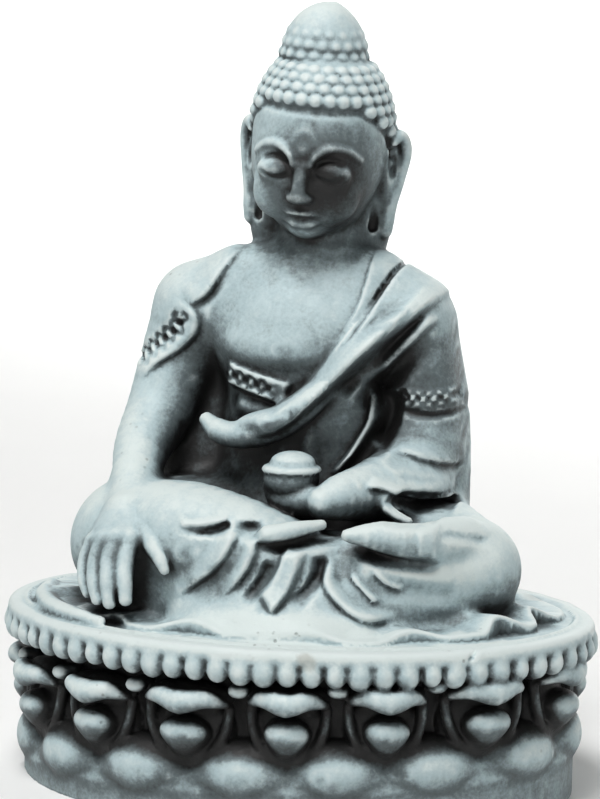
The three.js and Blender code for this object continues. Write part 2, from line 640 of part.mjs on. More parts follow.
const hem = {
  box: boxAround([
    [-RING_X - 3, -RING_Y - 3, PLATE_TOP - 2],
    [RING_X + 3, RING_Y + 3, PLATE_TOP + 6],
  ]),
  distance(x, y, z) {
    const turn = Math.atan2(y / RING_Y, x / RING_X);
    const reach = Math.hypot(x / RING_X, y / RING_Y);
    let lift = 0;
    for (const [angle, width, height] of ARCHES) {
      const away = Math.atan2(Math.sin(turn - degToRad(angle)), Math.cos(turn - degToRad(angle)));
      lift = Math.max(lift, height * bump(Math.abs(away) / degToRad(width)));
    }
    const rim = 0.985 - 0.03 * lift + 0.015 * Math.sin(9 * turn);
    const out = (reach - rim) * RING_Y + 0.6;
    const fall = 2.2 * smoothstep(rim - reach, 0.12, 0.5);
    const thick = 1 + 0.9 * smoothstep(Math.abs(x), 26, 44) * smoothstep(-y, -6, 6);
    const up = z - PLATE_TOP - thick - lift * smoothstep(reach, 0.45, 0.9) - fall + 0.6;
    return Math.hypot(Math.max(out, 0), Math.max(up, 0)) + Math.min(Math.max(out, up), 0) - 0.6;
  },
};

function build() {
  const field = new Field([-63, -49, -10], [63, 49, 154], CELL);
  addPlinth(field);
  field.join(hem, 0.4);
  // At the right side the hem lies in a thick roll.
  const roll = [
    [-29.6, -33, 35, 0.9],
    [-35.5, -29.8, 35.2, 1.4],
    [-42, -24, 35.2, 1.7],
    [-47.6, -13.6, 35.2, 1.8],
    [-49.8, -3, 35, 1.5],
  ];
  field.join(limb(roll), 1);
  addBody(field);
  addLegs(field);
  addArms(field);
  addHands(field);
  addHead(field);
  addCurls(field, CAP, CAP_ROWS, hairline);
  addCurls(field, TOPKNOT, KNOT_ROWS);
  for (const run of FOLDS) field.raise(fold(run));
  return field;
}

// Corners, edges and faces of a cell of the grid, as steps along X, Y and Z.
const CORNERS = [0, 1, 2, 3, 4, 5, 6, 7].map((c) => [c & 1, (c >> 1) & 1, c >> 2]);
const AXES = [
  [1, 0, 0],
  [0, 1, 0],
  [0, 0, 1],
];

// The corner of a cell to fill so that no two sheets of the surface touch in it, or -1.
// They would touch where inside and outside corners alternate round a face or along a diagonal.
function cornerToFill(mask) {
  const inside = (c) => (mask >> c) & 1;
  for (const base of [0, 1, 2, 4]) {
    for (const [u, v] of [[1, 2], [2, 4], [4, 1]]) {
      if (base & (u | v)) continue;
      const face = [base, base | u, base | u | v, base | v].map(inside);
      if (face[0] === face[2] && face[1] === face[3] && face[0] !== face[1]) {
        return face[0] ? base | u : base;
      }
    }
  }
  for (let c = 0; c < 4; c++) {
    const pair = (1 << c) | (1 << (7 - c));
    if (mask === pair) return c ^ 1;
    if (mask === 255 - pair) return c;
  }
  return -1;
}

function fillTouches(field) {
  const { values, count } = field;
  const offsets = CORNERS.map((c) => field.index(...c));
  const fill = Array.from({ length: 256 }, (_, mask) => cornerToFill(mask));
  for (let changed = true; changed; ) {
    changed = false;
    for (let k = 0; k < count[2] - 1; k++) {
      for (let j = 0; j < count[1] - 1; j++) {
        for (let i = 0; i < count[0] - 1; i++) {
          const at = field.index(i, j, k);
          const mask = offsets.reduce((m, o, c) => (values[at + o] < 0 ? m | (1 << c) : m), 0);
          if (fill[mask] < 0) continue;
          values[at + offsets[fill[mask]]] = -0.01;
          changed = true;
        }
      }
    }
  }
}

// Surface nets: one vertex in each cell that the surface crosses, one quad across each crossed edge.
function surfaceNets(field) {
  const { values, count, cell, low } = field;
  const vertexOf = new Int32Array(values.length).fill(-1);
  const positions = [];
  for (let k = 0; k < count[2] - 1; k++) {
    for (let j = 0; j < count[1] - 1; j++) {
      for (let i = 0; i < count[0] - 1; i++) {
        const found = crossing(field, i, j, k);
        if (!found) continue;
        vertexOf[field.index(i, j, k)] = positions.length / 3;
        positions.push(...found.map((f, axis) => low[axis] + cell * (f + [i, j, k][axis])));
      }
    }
  }
  const triangles = [];
  for (let k = 1; k < count[2] - 1; k++) {
    for (let j = 1; j < count[1] - 1; j++) {
      for (let i = 1; i < count[0] - 1; i++) {
        const at = field.index(i, j, k);
        for (let axis = 0; axis < 3; axis++) {
          const next = at + field.index(...AXES[axis]);
          if (values[at] < 0 === values[next] < 0) continue;
          const u = field.index(...AXES[(axis + 1) % 3]);
          const v = field.index(...AXES[(axis + 2) % 3]);
          const [a, b, c, d] = [at, at - u, at - u - v, at - v].map((n) => vertexOf[n]);
          triangles.push(...(values[at] < 0 ? [a, b, c, a, c, d] : [a, c, b, a, d, c]));
        }
      }
    }
  }
  return { positions: Float64Array.from(positions), triangles: Int32Array.from(triangles) };
}

// The mean of the points where the surface cuts a cell's edges, in cell units, or null.
function crossing(field, i, j, k) {
  const at = field.index(i, j, k);
  const corner = CORNERS.map((c) => field.values[at + field.index(...c)]);
  const inside = corner.filter((v) => v < 0).length;
  if (inside === 0 || inside === 8) return null;
  const sum = [0, 0, 0];
  let cuts = 0;
  for (let c = 0; c < 8; c++) {
    for (let axis = 0; axis < 3; axis++) {
      const other = c | (1 << axis);
      if (other === c || corner[c] < 0 === corner[other] < 0) continue;
      const share = corner[c] / (corner[c] - corner[other]);
      CORNERS[c].forEach((step, n) => (sum[n] += n === axis ? share : step));
      cuts++;
    }
  }
  return sum.map((s) => s / cuts);
}

// A heap of edges, cheapest first.
class EdgeHeap {
  constructor() {
    this.items = [];
  }

  push(item) {
    const { items } = this;
    let at = items.push(item) - 1;
    while (at > 0) {
      const up = (at - 1) >> 1;
      if (items[up].cost <= item.cost) break;
      items[at] = items[up];
      at = up;
    }
    items[at] = item;
  }

  pop() {
    const { items } = this;
    const top = items[0];
    const last = items.pop();
    if (!items.length) return top;
    let at = 0;
    for (let down = 1; down < items.length; down = 2 * at + 1) {
      if (down + 1 < items.length && items[down + 1].cost < items[down].cost) down++;
      if (items[down].cost >= last.cost) break;
      items[at] = items[down];
      at = down;
    }
    items[at] = last;
    return top;
  }
}

// How closely the thinned mesh keeps to the solid: most on the head, least behind.
function importance({ y, z }) {
  const behind = y > 13;
  if (z > 104) return behind ? 2 : 5;
  if (behind) return 0.3;
  return z > PLATE_TOP + 1 ? 1.4 : 0.8;
}

// Thins a closed mesh to a number of triangles by joining the ends of its least needed edges.
// The cost of a join is the sum of squared distances to the planes that the vertex stood for.
function thin({ positions, triangles }, kept) {
  const vertices = positions.length / 3;
  const quadrics = new Float64Array(vertices * 10);
  const facesOf = Array.from({ length: vertices }, () => []);
  const stamp = new Int32Array(vertices);
  const alive = new Uint8Array(triangles.length / 3).fill(1);
  const [a, b, c, normal] = [0, 1, 2, 3].map(() => new THREE.Vector3());
  const corner = (target, v) => target.fromArray(positions, 3 * v);

  for (let f = 0; f < alive.length; f++) {
    const [i, j, k] = triangles.subarray(3 * f, 3 * f + 3);
    corner(a, i);
    normal.subVectors(corner(b, j), a).cross(corner(c, k).sub(a));
    const area = normal.length();
    normal.divideScalar(area || 1);
    const weight = area * importance(a);
    const plane = [normal.x, normal.y, normal.z, -normal.dot(a)];
    for (const v of [i, j, k]) {
      facesOf[v].push(f);
      let slot = 10 * v;
      for (let p = 0; p < 4; p++) {
        for (let q = p; q < 4; q++) quadrics[slot++] += weight * plane[p] * plane[q];
      }
    }
  }

  const errorAt = (q, x, y, z) =>
    q[0] * x * x + 2 * q[1] * x * y + 2 * q[2] * x * z + 2 * q[3] * x + q[4] * y * y +
    2 * q[5] * y * z + 2 * q[6] * y + q[7] * z * z + 2 * q[8] * z + q[9];

  // The best place for the joined vertex, where the planes meet or, if they don't, midway.
  function plan(v, w) {
    const q = quadrics.subarray(10 * v, 10 * v + 10).map((value, n) => value + quadrics[10 * w + n]);
    const [c00, c01, c02] = [q[4] * q[7] - q[5] * q[5], q[2] * q[5] - q[1] * q[7], q[1] * q[5] - q[2] * q[4]];
    const det = q[0] * c00 + q[1] * c01 + q[2] * c02;
    corner(a, v);
    corner(b, w);
    const length = a.distanceTo(b);
    const spot = a.clone().add(b).multiplyScalar(0.5);
    if (Math.abs(det) > 1e-6) {
      const c11 = q[0] * q[7] - q[2] * q[2];
      const c12 = q[1] * q[2] - q[0] * q[5];
      const c22 = q[0] * q[4] - q[1] * q[1];
      const best = new THREE.Vector3(
        c00 * q[3] + c01 * q[6] + c02 * q[8],
        c01 * q[3] + c11 * q[6] + c12 * q[8],
        c02 * q[3] + c12 * q[6] + c22 * q[8],
      ).divideScalar(-det);
      if (best.distanceTo(spot) < length) spot.copy(best);
    }
    const cost = Math.max(errorAt(q, spot.x, spot.y, spot.z), 0) + 1e-5 * length * length;
    return { v, w, spot, cost, stamps: [stamp[v], stamp[w]] };
  }

  const neighbours = (v) => {
    const found = new Set();
    for (const f of facesOf[v]) {
      for (let n = 0; n < 3; n++) found.add(triangles[3 * f + n]);
    }
    found.delete(v);
    return found;
  };

  // A join may not turn a face over or make it a needle.
  function faceHolds(f, moved, other, spot) {
    const ids = triangles.subarray(3 * f, 3 * f + 3);
    if (ids.includes(other)) return true;
    const before = [a, b, c].map((target, n) => corner(target, ids[n]).clone());
    const after = before.map((p, n) => (ids[n] === moved ? spot : p));
    const cross = (p) => p[1].clone().sub(p[0]).cross(p[2].clone().sub(p[0]));
    const [n0, n1] = [cross(before), cross(after)];
    const longest = Math.max(...after.map((p, n) => p.distanceToSquared(after[(n + 1) % 3])));
    return n1.length() > 0.06 * longest && n0.normalize().dot(n1.normalize()) > 0.2;
  }

  const heap = new EdgeHeap();
  for (let v = 0; v < vertices; v++) {
    for (const w of neighbours(v)) if (v < w) heap.push(plan(v, w));
  }
  let count = alive.length;
  while (count > kept && heap.items.length) {
    const { v, w, spot, stamps } = heap.pop();
    if (stamps[0] !== stamp[v] || stamps[1] !== stamp[w]) continue;
    const [near, far] = [neighbours(v), neighbours(w)];
    if ([...near].filter((n) => far.has(n)).length !== 2) continue;
    const holds =
      facesOf[v].every((f) => faceHolds(f, v, w, spot)) &&
      facesOf[w].every((f) => faceHolds(f, w, v, spot));
    if (!holds) continue;
    spot.toArray(positions, 3 * v);
    for (let n = 0; n < 10; n++) quadrics[10 * v + n] += quadrics[10 * w + n];
    for (const f of facesOf[w]) {
      const ids = triangles.subarray(3 * f, 3 * f + 3);
      if (ids.includes(v)) {
        alive[f] = 0;
        count--;
      } else {
        ids[ids.indexOf(w)] = v;
        facesOf[v].push(f);
      }
    }
    const touched = new Set([...near, ...far]);
    for (const n of touched) facesOf[n] = facesOf[n].filter((f) => alive[f]);
    facesOf[v] = facesOf[v].filter((f) => alive[f]);
    stamp[v]++;
    stamp[w] = -1;
    for (const n of neighbours(v)) heap.push(plan(v, n));
  }
  const left = [];
  alive.forEach((live, f) => live && left.push(...triangles.subarray(3 * f, 3 * f + 3)));
  return { positions, triangles: left };
}

function toGeometry({ positions, triangles }) {
  const geometry = new THREE.BufferGeometry();
  const corners = new Float32Array(triangles.length * 3);
  triangles.forEach((v, n) => corners.set(positions.subarray(3 * v, 3 * v + 3), 3 * n));
  geometry.setAttribute("position", new THREE.BufferAttribute(corners, 3));
  return mergeVertices(geometry, 1e-4);
}

const wasm = await Module();
wasm.setup();

function toSolid(geometry) {
  geometry.deleteAttribute("normal");
  geometry.deleteAttribute("uv");
  const merged = mergeVertices(geometry);
  return new wasm.Manifold(
    new wasm.Mesh({
      numProp: 3,
      vertProperties: merged.attributes.position.array,
      triVerts: new Uint32Array(merged.index.array),
    }),
  );
}

// Cuts the casting flat at the underside, which the field carries on below.
function cutUnderside(geometry) {
  const depth = 20;
  const ground = new THREE.BoxGeometry(300, 300, depth).translate(0, 0, -depth / 2);
  const { vertProperties, triVerts } = toSolid(geometry).subtract(toSolid(ground)).getMesh();
  const cut = new THREE.BufferGeometry();
  cut.setAttribute("position", new THREE.BufferAttribute(vertProperties, 3));
  cut.setIndex(new THREE.BufferAttribute(triVerts, 1));
  return cut;
}

const field = build();
fillTouches(field);
const geometry = cutUnderside(toGeometry(thin(surfaceNets(field), KEPT_FACES)));
geometry.computeVertexNormals();

const clay = new THREE.MeshStandardMaterial({ color: 0xb9c6c8, roughness: 0.8, metalness: 0 });
const statue = new THREE.Mesh(geometry, clay);
statue.name = "buddha_statue";

const root = new THREE.Group();
root.add(statue);

export default root;
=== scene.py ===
"""A seated Buddha on a double lotus plinth, moulded in one piece of fired clay.

The casting is one implicit solid, joined from the same plain forms as the CAD part on a finer grid,
with the small relief added. Lengths are millimetres until the mesh is made, +Z up, facing -Y.
"""
import math

import bpy
import numpy as np
from mathutils import Euler, Matrix, Vector


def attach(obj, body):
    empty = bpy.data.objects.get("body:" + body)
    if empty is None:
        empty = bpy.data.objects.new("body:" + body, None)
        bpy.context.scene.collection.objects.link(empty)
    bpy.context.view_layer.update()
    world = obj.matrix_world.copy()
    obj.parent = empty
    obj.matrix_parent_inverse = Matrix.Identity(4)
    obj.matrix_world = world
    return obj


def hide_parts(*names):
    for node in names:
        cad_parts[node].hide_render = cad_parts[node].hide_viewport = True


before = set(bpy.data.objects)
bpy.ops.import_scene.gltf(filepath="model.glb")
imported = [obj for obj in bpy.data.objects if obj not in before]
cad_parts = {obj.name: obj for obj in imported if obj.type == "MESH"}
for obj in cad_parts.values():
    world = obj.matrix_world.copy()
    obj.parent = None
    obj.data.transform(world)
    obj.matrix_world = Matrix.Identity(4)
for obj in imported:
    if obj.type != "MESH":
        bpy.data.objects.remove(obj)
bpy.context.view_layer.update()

# The plinth. The ring is the ellipse that petals and beads are set out on.
RING_X = 52
RING_Y = 38
FOOT_TOP = 7
PLATE_LOW = 31
PLATE_TOP = 34
# Where the gaps between the petals lie, as shares of the ring: listed one by one in front, then evenly round.
FRONT_GAPS = (0.676, 0.747, 0.809, 0.8703, 0.9403)
BACK_PETALS = 11
# The width that a petal is drawn at.
PETAL = 18
# The carved band rises so much for each millimetre towards the figure's left.
SLANT = 0.05
BEADS = 70

# The head, with the degrees that it leans to its side and nods.
HEAD_PIVOT = (0.4, 6, 121)
HEAD_LEAN = 4.5
HEAD_NOD = 7

# The grid that the solid is sampled on, and the triangles that are kept of its surface.
GRID_LOW = (-63, -49, -1.2)
GRID_HIGH = (63, 49, 154)
CELL = 0.4
KEPT_FACES = 196000
# The distance that stands for far away, and the height under which a point is on the underside.
FAR = 40
UNDERSIDE = 0.1
MM = 0.001


def smoothstep(x, low, high):
    t = np.clip((x - low) / (high - low), 0, 1)
    return t * t * (3 - 2 * t)


def bump(q):
    """1 at the middle and 0 from q = 1 outwards."""
    return np.clip(1 - q * q, 0, None) ** 2


def soft(a, b, blend):
    """Soft minimum: two distances meet in a fillet about as wide as blend."""
    near = np.maximum(blend - np.abs(a - b), 0)
    return np.minimum(a, b) - near * near / (4 * blend)


class Field:
    """A box of grid nodes that holds the signed distance to the casting, negative inside."""

    def __init__(self, low, high, cell):
        self.low = np.array(low, float)
        self.cell = cell
        count = [math.ceil((high[i] - low[i]) / cell) + 1 for i in range(3)]
        self.values = np.full(count, FAR, np.float32)

    def span(self, box, margin):
        low = np.floor((np.array(box[0]) - margin - self.low) / self.cell).astype(int)
        high = np.ceil((np.array(box[1]) + margin - self.low) / self.cell).astype(int) + 1
        low = np.clip(low, 0, self.values.shape)
        high = np.clip(high, low, self.values.shape)
        return tuple(slice(a, b) for a, b in zip(low, high))

    def places(self, span):
        """The nodes' X, Y and Z in a span, as arrays that broadcast."""
        axes = [
            (self.low[i] + self.cell * np.arange(s.start, s.stop)).astype(np.float32)
            for i, s in enumerate(span)
        ]
        return np.meshgrid(*axes, indexing="ij", sparse=True)

    def distance(self, shape, margin):
        """The distance to a shape, in the span that it reaches."""
        lows, highs = zip(*(box for box, rule in shape))
        whole = self.span((np.min(lows, 0), np.max(highs, 0)), margin)
        found = np.full([s.stop - s.start for s in whole], FAR, np.float32)
        for box, rule in shape:
            span = self.span(box, margin)
            if any(s.stop <= s.start for s in span):
                continue
            inner = tuple(slice(s.start - w.start, s.stop - w.start) for s, w in zip(span, whole))
            found[inner] = np.minimum(found[inner], rule(*self.places(span)))
        return whole, found

    def join(self, shape, blend=1):
        span, distance = self.distance(shape, blend)
        self.values[span] = soft(self.values[span], distance, blend)

    def carve(self, shape, blend=1):
        span, distance = self.distance(shape, blend)
        self.values[span] = -soft(-self.values[span], distance, blend)

    def raise_by(self, relief):
        box, rule = relief
        span = self.span(box, 0)
        if all(s.stop > s.start for s in span):
            self.values[span] -= rule(*self.places(span))


def box_around(points, grow=0):
    points = np.array(points, float)
    return points.min(0) - grow, points.max(0) + grow


def length(*parts):
    return np.sqrt(sum(p * p for p in parts))


# A shape is a list of parts, each a bounding box and a rule that gives the distance to its surface.
def ellipsoid(centre, radii):
    (cx, cy, cz), (rx, ry, rz) = centre, radii

    def rule(x, y, z):
        px, py, pz = (x - cx) / rx, (y - cy) / ry, (z - cz) / rz
        reach = length(px, py, pz)
        slope = np.maximum(length(px / rx, py / ry, pz / rz), 1e-6)
        return np.where(reach < 1e-3, -min(radii), reach * (reach - 1) / slope)

    centre, radii = np.array(centre, float), np.array(radii, float)
    return [((centre - radii, centre + radii), rule)]


def through(points, steps, power):
    """Points of a smooth run, steps to a span: power 0 is uniform, 0.25 centripetal."""
    points = np.array(points, float)
    first, last = points[0], points[-1]
    if power:
        first, last = 2 * points[0] - points[1], 2 * points[-1] - points[-2]
    ends = np.vstack([first, points, last])
    run = []
    for n in range(len(points) - 1):
        p0, p1, p2, p3 = ends[n:n + 4]
        d0, d1, d2 = [np.sum((b - a) ** 2) ** power for a, b in [(p0, p1), (p1, p2), (p2, p3)]]
        t1 = ((p1 - p0) / d0 - (p2 - p0) / (d0 + d1) + (p2 - p1) / d1) * d1
        t2 = ((p2 - p1) / d1 - (p3 - p1) / (d1 + d2) + (p3 - p2) / d2) * d1
        for step in range(steps):
            w = step / steps
            cubic = (2 * p1 - 2 * p2 + t1 + t2) * w ** 3
            run.append(cubic + (-3 * p1 + 3 * p2 - 2 * t1 - t2) * w ** 2 + t1 * w + p1)
    return np.array(run + [points[-1]])


def lengths_along(points):
    """How far along a run each of its points lies."""
    steps = np.linalg.norm(np.diff(points, axis=0), axis=1)
    return np.concatenate([[0], np.cumsum(steps)])


def limb(points, steps=4):
    """A limb follows a smooth run through [x, y, z, radius] points."""
    points = np.array(points, float)
    knots = through(points[:, :3], steps, 0.25)
    radii = np.interp(np.arange(len(knots)) / steps, np.arange(len(points)), points[:, 3])
    parts = []
    for a, b, ar, br in zip(knots, knots[1:], radii, radii[1:]):
        parts.append((box_around([a, b], max(ar, br)), cone(a, b, ar, br)))
    return parts


def cone(a, b, ar, br):
    d = b - a
    square = float(d @ d)

    def rule(x, y, z):
        px, py, pz = x - a[0], y - a[1], z - a[2]
        t = np.clip((px * d[0] + py * d[1] + pz * d[2]) / square, 0, 1)
        gap = length(px - t * d[0], py - t * d[1], pz - t * d[2])
        return gap - ar - t * (br - ar)

    return rule


def moved_rule(rule, back):
    b = [[float(v) for v in row] for row in back]

    def moved(x, y, z):
        return rule(*(b[i][0] * x + b[i][1] * y + b[i][2] * z + b[i][3] for i in range(3)))

    return moved


def moved_box(box, matrix):
    corners = [
        matrix @ Vector((box[i][0], box[j][1], box[k][2]))
        for i in (0, 1) for j in (0, 1) for k in (0, 1)
    ]
    return box_around(corners)


def placed(shape, matrix):
    """The same shape or relief, moved by a matrix that is rigid or shears it only a little."""
    back = matrix.inverted()
    if isinstance(shape, list):
        return [(moved_box(box, matrix), moved_rule(rule, back)) for box, rule in shape]
    return moved_box(shape[0], matrix), moved_rule(shape[1], back)


def fold(points, height, left, right=None, near=-60, far=14, fade=(0.25, 0.25), flat=0):
    """A fold drawn in the front view through [x, z] points, between the depths near and far.

    Its crest falls away over the widths left and right of its run, each a number or a pair, at the
    start and at the end. It is flat for so far to each side, and fades in and out over shares of
    the run. A height under 0 makes a valley.
    """
    def tapered(pair, share):
        return pair[0] + share * (pair[1] - pair[0])

    left, right, flat = (np.broadcast_to(w, 2) for w in (left, left if right is None else right, flat))
    run = through(points, 4, 0)
    spans = len(run) - 1
    widest = max(*left, *right) + max(flat)
    low, high = box_around(run, widest)
    edge = 2

    def rule(x, y, z):
        x, z = np.broadcast_arrays(x, z)
        least = np.full(x.shape, widest, np.float32)
        along = np.zeros(x.shape, np.float32)
        side = np.ones(x.shape, np.float32)
        for n in range(spans):
            a, d = run[n], run[n + 1] - run[n]
            t = np.clip(((x - a[0]) * d[0] + (z - a[1]) * d[1]) / float(d @ d), 0, 1)
            gap = length(x - a[0] - t * d[0], z - a[1] - t * d[1])
            closer = gap < least
            least = np.where(closer, gap, least)
            along = np.where(closer, n + t, along)
            side = np.where(closer, d[0] * (z - a[1]) - d[1] * (x - a[0]), side)
        share = along / spans
        width = np.where(side > 0, tapered(left, share), tapered(right, share))
        across = bump(np.maximum(least - flat[0] - share * (flat[1] - flat[0]), 0) / width)
        across = across * smoothstep(share, 0, fade[0]) * smoothstep(1 - share, 0, fade[1])
        depth = smoothstep(far - y, 0, edge) * smoothstep(y - near, 0, edge)
        return (height * across * depth).astype(np.float32)

    return ((low[0], near, low[1]), (high[0], far, high[1])), rule


# Setting out on the ring: shares of its length, counted from +X towards +Y.
RING_STEPS = 720
ring_angles = np.linspace(0, 2 * math.pi, RING_STEPS + 1)
ring_points = np.stack([RING_X * np.cos(ring_angles), RING_Y * np.sin(ring_angles)], 1)
ring_lengths = lengths_along(ring_points)


def ring_frame(share, slant=0):
    """The frame of a petal or bead: X along the ring, Y outwards, Z up."""
    angle = float(np.interp(share % 1 * ring_lengths[-1], ring_lengths, ring_angles))
    out = Vector((math.cos(angle) / RING_X, math.sin(angle) / RING_Y, 0)).normalized()
    along = Vector((out.y, -out.x, 0))
    at = Vector((RING_X * math.cos(angle), RING_Y * math.sin(angle), 0))
    return Matrix((
        (along.x, out.x, 0, at.x),
        (along.y, out.y, 0, at.y),
        (0, 0, 1, slant * at.x),
        (0, 0, 0, 1),
    ))


def ring_offset(x, y):
    """How far a point lies outside the ring, in plan."""
    reach = length(x / RING_X, y / RING_Y)
    slope = np.maximum(length(x / RING_X ** 2, y / RING_Y ** 2), 1e-6)
    return np.where(reach < 1e-3, -RING_Y, reach * (reach - 1) / slope)


def ring_box(reach, low, high):
    """The box of what lies within reach of the ring between two heights."""
    return (-RING_X - reach, -RING_Y - reach, low), (RING_X + reach, RING_Y + reach, high)


def rounded(out, up, corner):
    """The distance to an upright band, from the distances past its side and its end."""
    out, up = out + corner, up + corner
    return length(np.maximum(out, 0), np.maximum(up, 0)) + np.minimum(np.maximum(out, up), 0) - corner


def tier(reach, low, high, corner):
    """One tier of the plinth: everything within reach of the ring between two heights."""
    def rule(x, y, z):
        up = np.abs(z - (low + high) / 2) - (high - low) / 2
        return rounded(ring_offset(x, y) - reach, up, corner)

    return [(ring_box(reach, low, high), rule)]


def add_petal(field, here, wide):
    """A drooping lip over a hollow, a boss in the hollow, and a low ridge that runs round them."""
    def stretched(half):
        """A whole run, from its left half that ends at the middle."""
        whole = [*half, *((-x, *rest) for x, *rest in half[-2::-1])]
        return [(x * wide, *rest) for x, *rest in whole]

    lip = stretched([(-6.8, 1.4, 23.2, 0.9), (-4, 3.7, 24.3, 1.7), (0, 4.6, 23.6, 2.3)])
    outer = stretched([(-7.1, -0.2, 22, 1), (-6.6, 0.3, 18, 1), (-4.4, 0.5, 13.8, 1), (0, 0, 11.8, 1)])
    field.join(placed(limb(outer), here), 0.8)
    field.join(placed(ellipsoid((0, 1.8, 17.6), (4.4 * wide, 3.8, 2.9)), here), 0.6)
    field.join(placed(ellipsoid((0, 0.8, 15.6), (3 * wide, 3, 3)), here), 2)
    field.join(placed(limb(lip), here), 0.5)


def petal_places():
    """The middles of the petals and of the gaps between them, each with its width."""
    first, last = FRONT_GAPS[0], FRONT_GAPS[-1]
    back = [last + (1 + first - last) * n / BACK_PETALS for n in range(1, BACK_PETALS + 1)]
    gaps = [*FRONT_GAPS, *back]
    petals = [((a + b) / 2, (b - a) * ring_lengths[-1] / PETAL) for a, b in zip(gaps, gaps[1:])]
    return petals, gaps[1:]


def slanted(shape):
    matrix = Matrix.Identity(4)
    matrix[2][0] = SLANT
    return placed(shape, matrix)


def add_plinth(field):
    field.join(tier(-2.6, 2, PLATE_LOW, 0.5), 0.5)
    field.join(slanted(tier(2.4, -6, FOOT_TOP, 0.8)), 1)
    petals, gaps = petal_places()
    petals = [(ring_frame(share, SLANT), wide) for share, wide in petals]
    gaps = [ring_frame(share, SLANT) for share in gaps]
    # The lobes, then the ground that the petals lie on.
    for here in gaps:
        field.join(placed(ellipsoid((0, -1.6, 9.6), (8.6, 5.6, 6.2)), here), 0.6)
    for here, wide in petals:
        field.join(placed(ellipsoid((0, -2, 7.6), (8 * wide, 4.2, 4)), here), 2)
        field.join(placed(ellipsoid((0, -2.4, 17.6), (7.4 * wide, 3.4, 6.6)), here), 0.5)
        field.join(placed(ellipsoid((0, -0.8, 24), (7.8 * wide, 3.4, 2.4)), here), 0.8)
    # The tips of the petals behind, which show in the gaps.
    for here in gaps:
        field.join(placed(ellipsoid((0, 2.2, 25.5), (2.1, 1.7, 1.4)), here), 0.5)
        field.join(placed(ellipsoid((0, 0, 25.7), (2, 2.6, 1.3)), here), 0.5)
    for here, wide in petals:
        add_petal(field, here, wide)
    for n in range(BEADS):
        here = ring_frame((n + 0.5) / BEADS)
        size = 1 + 0.07 * math.sin(5 * n) + 0.05 * math.sin(3 * n + 1)
        bead = ellipsoid((0, 4.3, 30.2 - size / 2), (2.2 * size, 2.3, 2.6 * size))
        field.join(placed(bead, here), 0.7)
    field.join(tier(5.8, PLATE_LOW, PLATE_TOP, 1.4), 1)
    # A crack runs down the rim.
    field.carve(limb([(40.6, -29, 34.4, 0.4), (39.4, -33.4, 31, 0.5), (36, -36.4, 27.6, 0.5)]), 0.3)
    # A low raised line inside the rim.
    field.join(ring_line(2.2, PLATE_TOP, 0.5), 0.4)


def ring_line(reach, height, radius):
    """A round line that follows the ring, so far outside it."""
    def rule(x, y, z):
        return length(ring_offset(x, y) - reach, z - height) - radius

    return [(ring_box(reach + radius, height - radius, height + radius), rule)]


def add_body(field):
    field.join(ellipsoid((0, 10, 48), (26, 17, 19)), 2)
    field.join(ellipsoid((-0.5, 9, 68), (17.5, 12.5, 18)), 5)
    field.join(ellipsoid((-1, 8, 86), (20, 13.5, 14.5)), 5)
    loop = [
        (9, 1.5, 80.5, 1.4), (4, -2.4, 76, 2.6), (-0.4, -5.6, 72, 3.1), (-5.5, -6.8, 69, 3.1),
        (-11, -6.6, 67.6, 2.6), (-15.6, -5, 68.2, 2.3), (-18.4, -3, 69.8, 1.5),
    ]
    field.join(limb(loop), 0.8)
    shoulders = [(-23.5, 10, 90.5, 9.2), (-11, 9.5, 96, 8), (9, 9.5, 96, 8), (17.5, 10, 90.5, 9)]
    field.join(limb(shoulders), 4)
    field.join(limb([(0.5, 12.4, 95, 11), (0.5, 13, 108, 9.2)]), 2.4)
    for side in (-1, 1):
        field.join(limb([(side * 20, 15, 88, 7), (side * 22, 15, 70, 8), (side * 21, 12, 50, 10)]), 4)
    # The body reaches the inner side of the right arm.
    field.join(limb([(-24, 13, 70, 7), (-25, 11, 58, 8)]), 3)


def add_legs(field):
    right_thigh = [(-10, 12, 46, 13), (-19, 3, 45.6, 12.6), (-29.6, -8, 46.4, 12.2)]
    right_shin = [
        (-30, -12, 46.4, 12.2), (-17.4, -18, 48.4, 11.4), (-6, -20.6, 47.8, 9.8), (5, -22, 46, 7.2),
    ]
    under = [(-31, -13, 39, 6), (-14, -22.5, 39, 6.4), (8, -25, 39, 6.4), (31, -12, 39, 6)]
    left_thigh = [(10, 12, 47, 14), (24, 3, 45.5, 12.4), (34, -4, 43.8, 9.8)]
    for run in (right_thigh, right_shin, under, left_thigh):
        field.join(limb(run), 3)
    left_shin = [(34.6, -6, 44.4, 9.4), (28, -13, 44.6, 8), (22.4, -19, 45.4, 5), (19, -22.6, 46, 2.6)]
    field.join(limb(left_shin), 2)
    spread = [(-14, -27, 36, 2.6), (-2, -31.6, 35.6, 3.4), (8, -32.4, 35.4, 3.2), (18, -28, 35.6, 2.6)]
    field.join(limb(spread), 4)
    foot = [
        (15.4, -26, 52.8, 1.2), (19, -24.6, 52.6, 2.4), (24.4, -21.6, 52, 3.8), (30, -16.6, 51, 4.6),
        (34, -10, 50, 5),
    ]
    field.join(limb(foot), 1.2)
    field.join(limb([(20, -22.6, 51.8, 2), (29, -17.4, 50.4, 4)]), 1)
    field.join(limb([(3, -19, 46.4, 6.4), (17, -17.6, 45.4, 6.4)]), 3)
    tongue = [(-2, -28, 52.4, 1), (1.4, -28.8, 52.4, 2), (5.4, -27, 53.2, 1.8), (9.8, -23.2, 54, 1)]
    field.join(limb(tongue), 0.5)


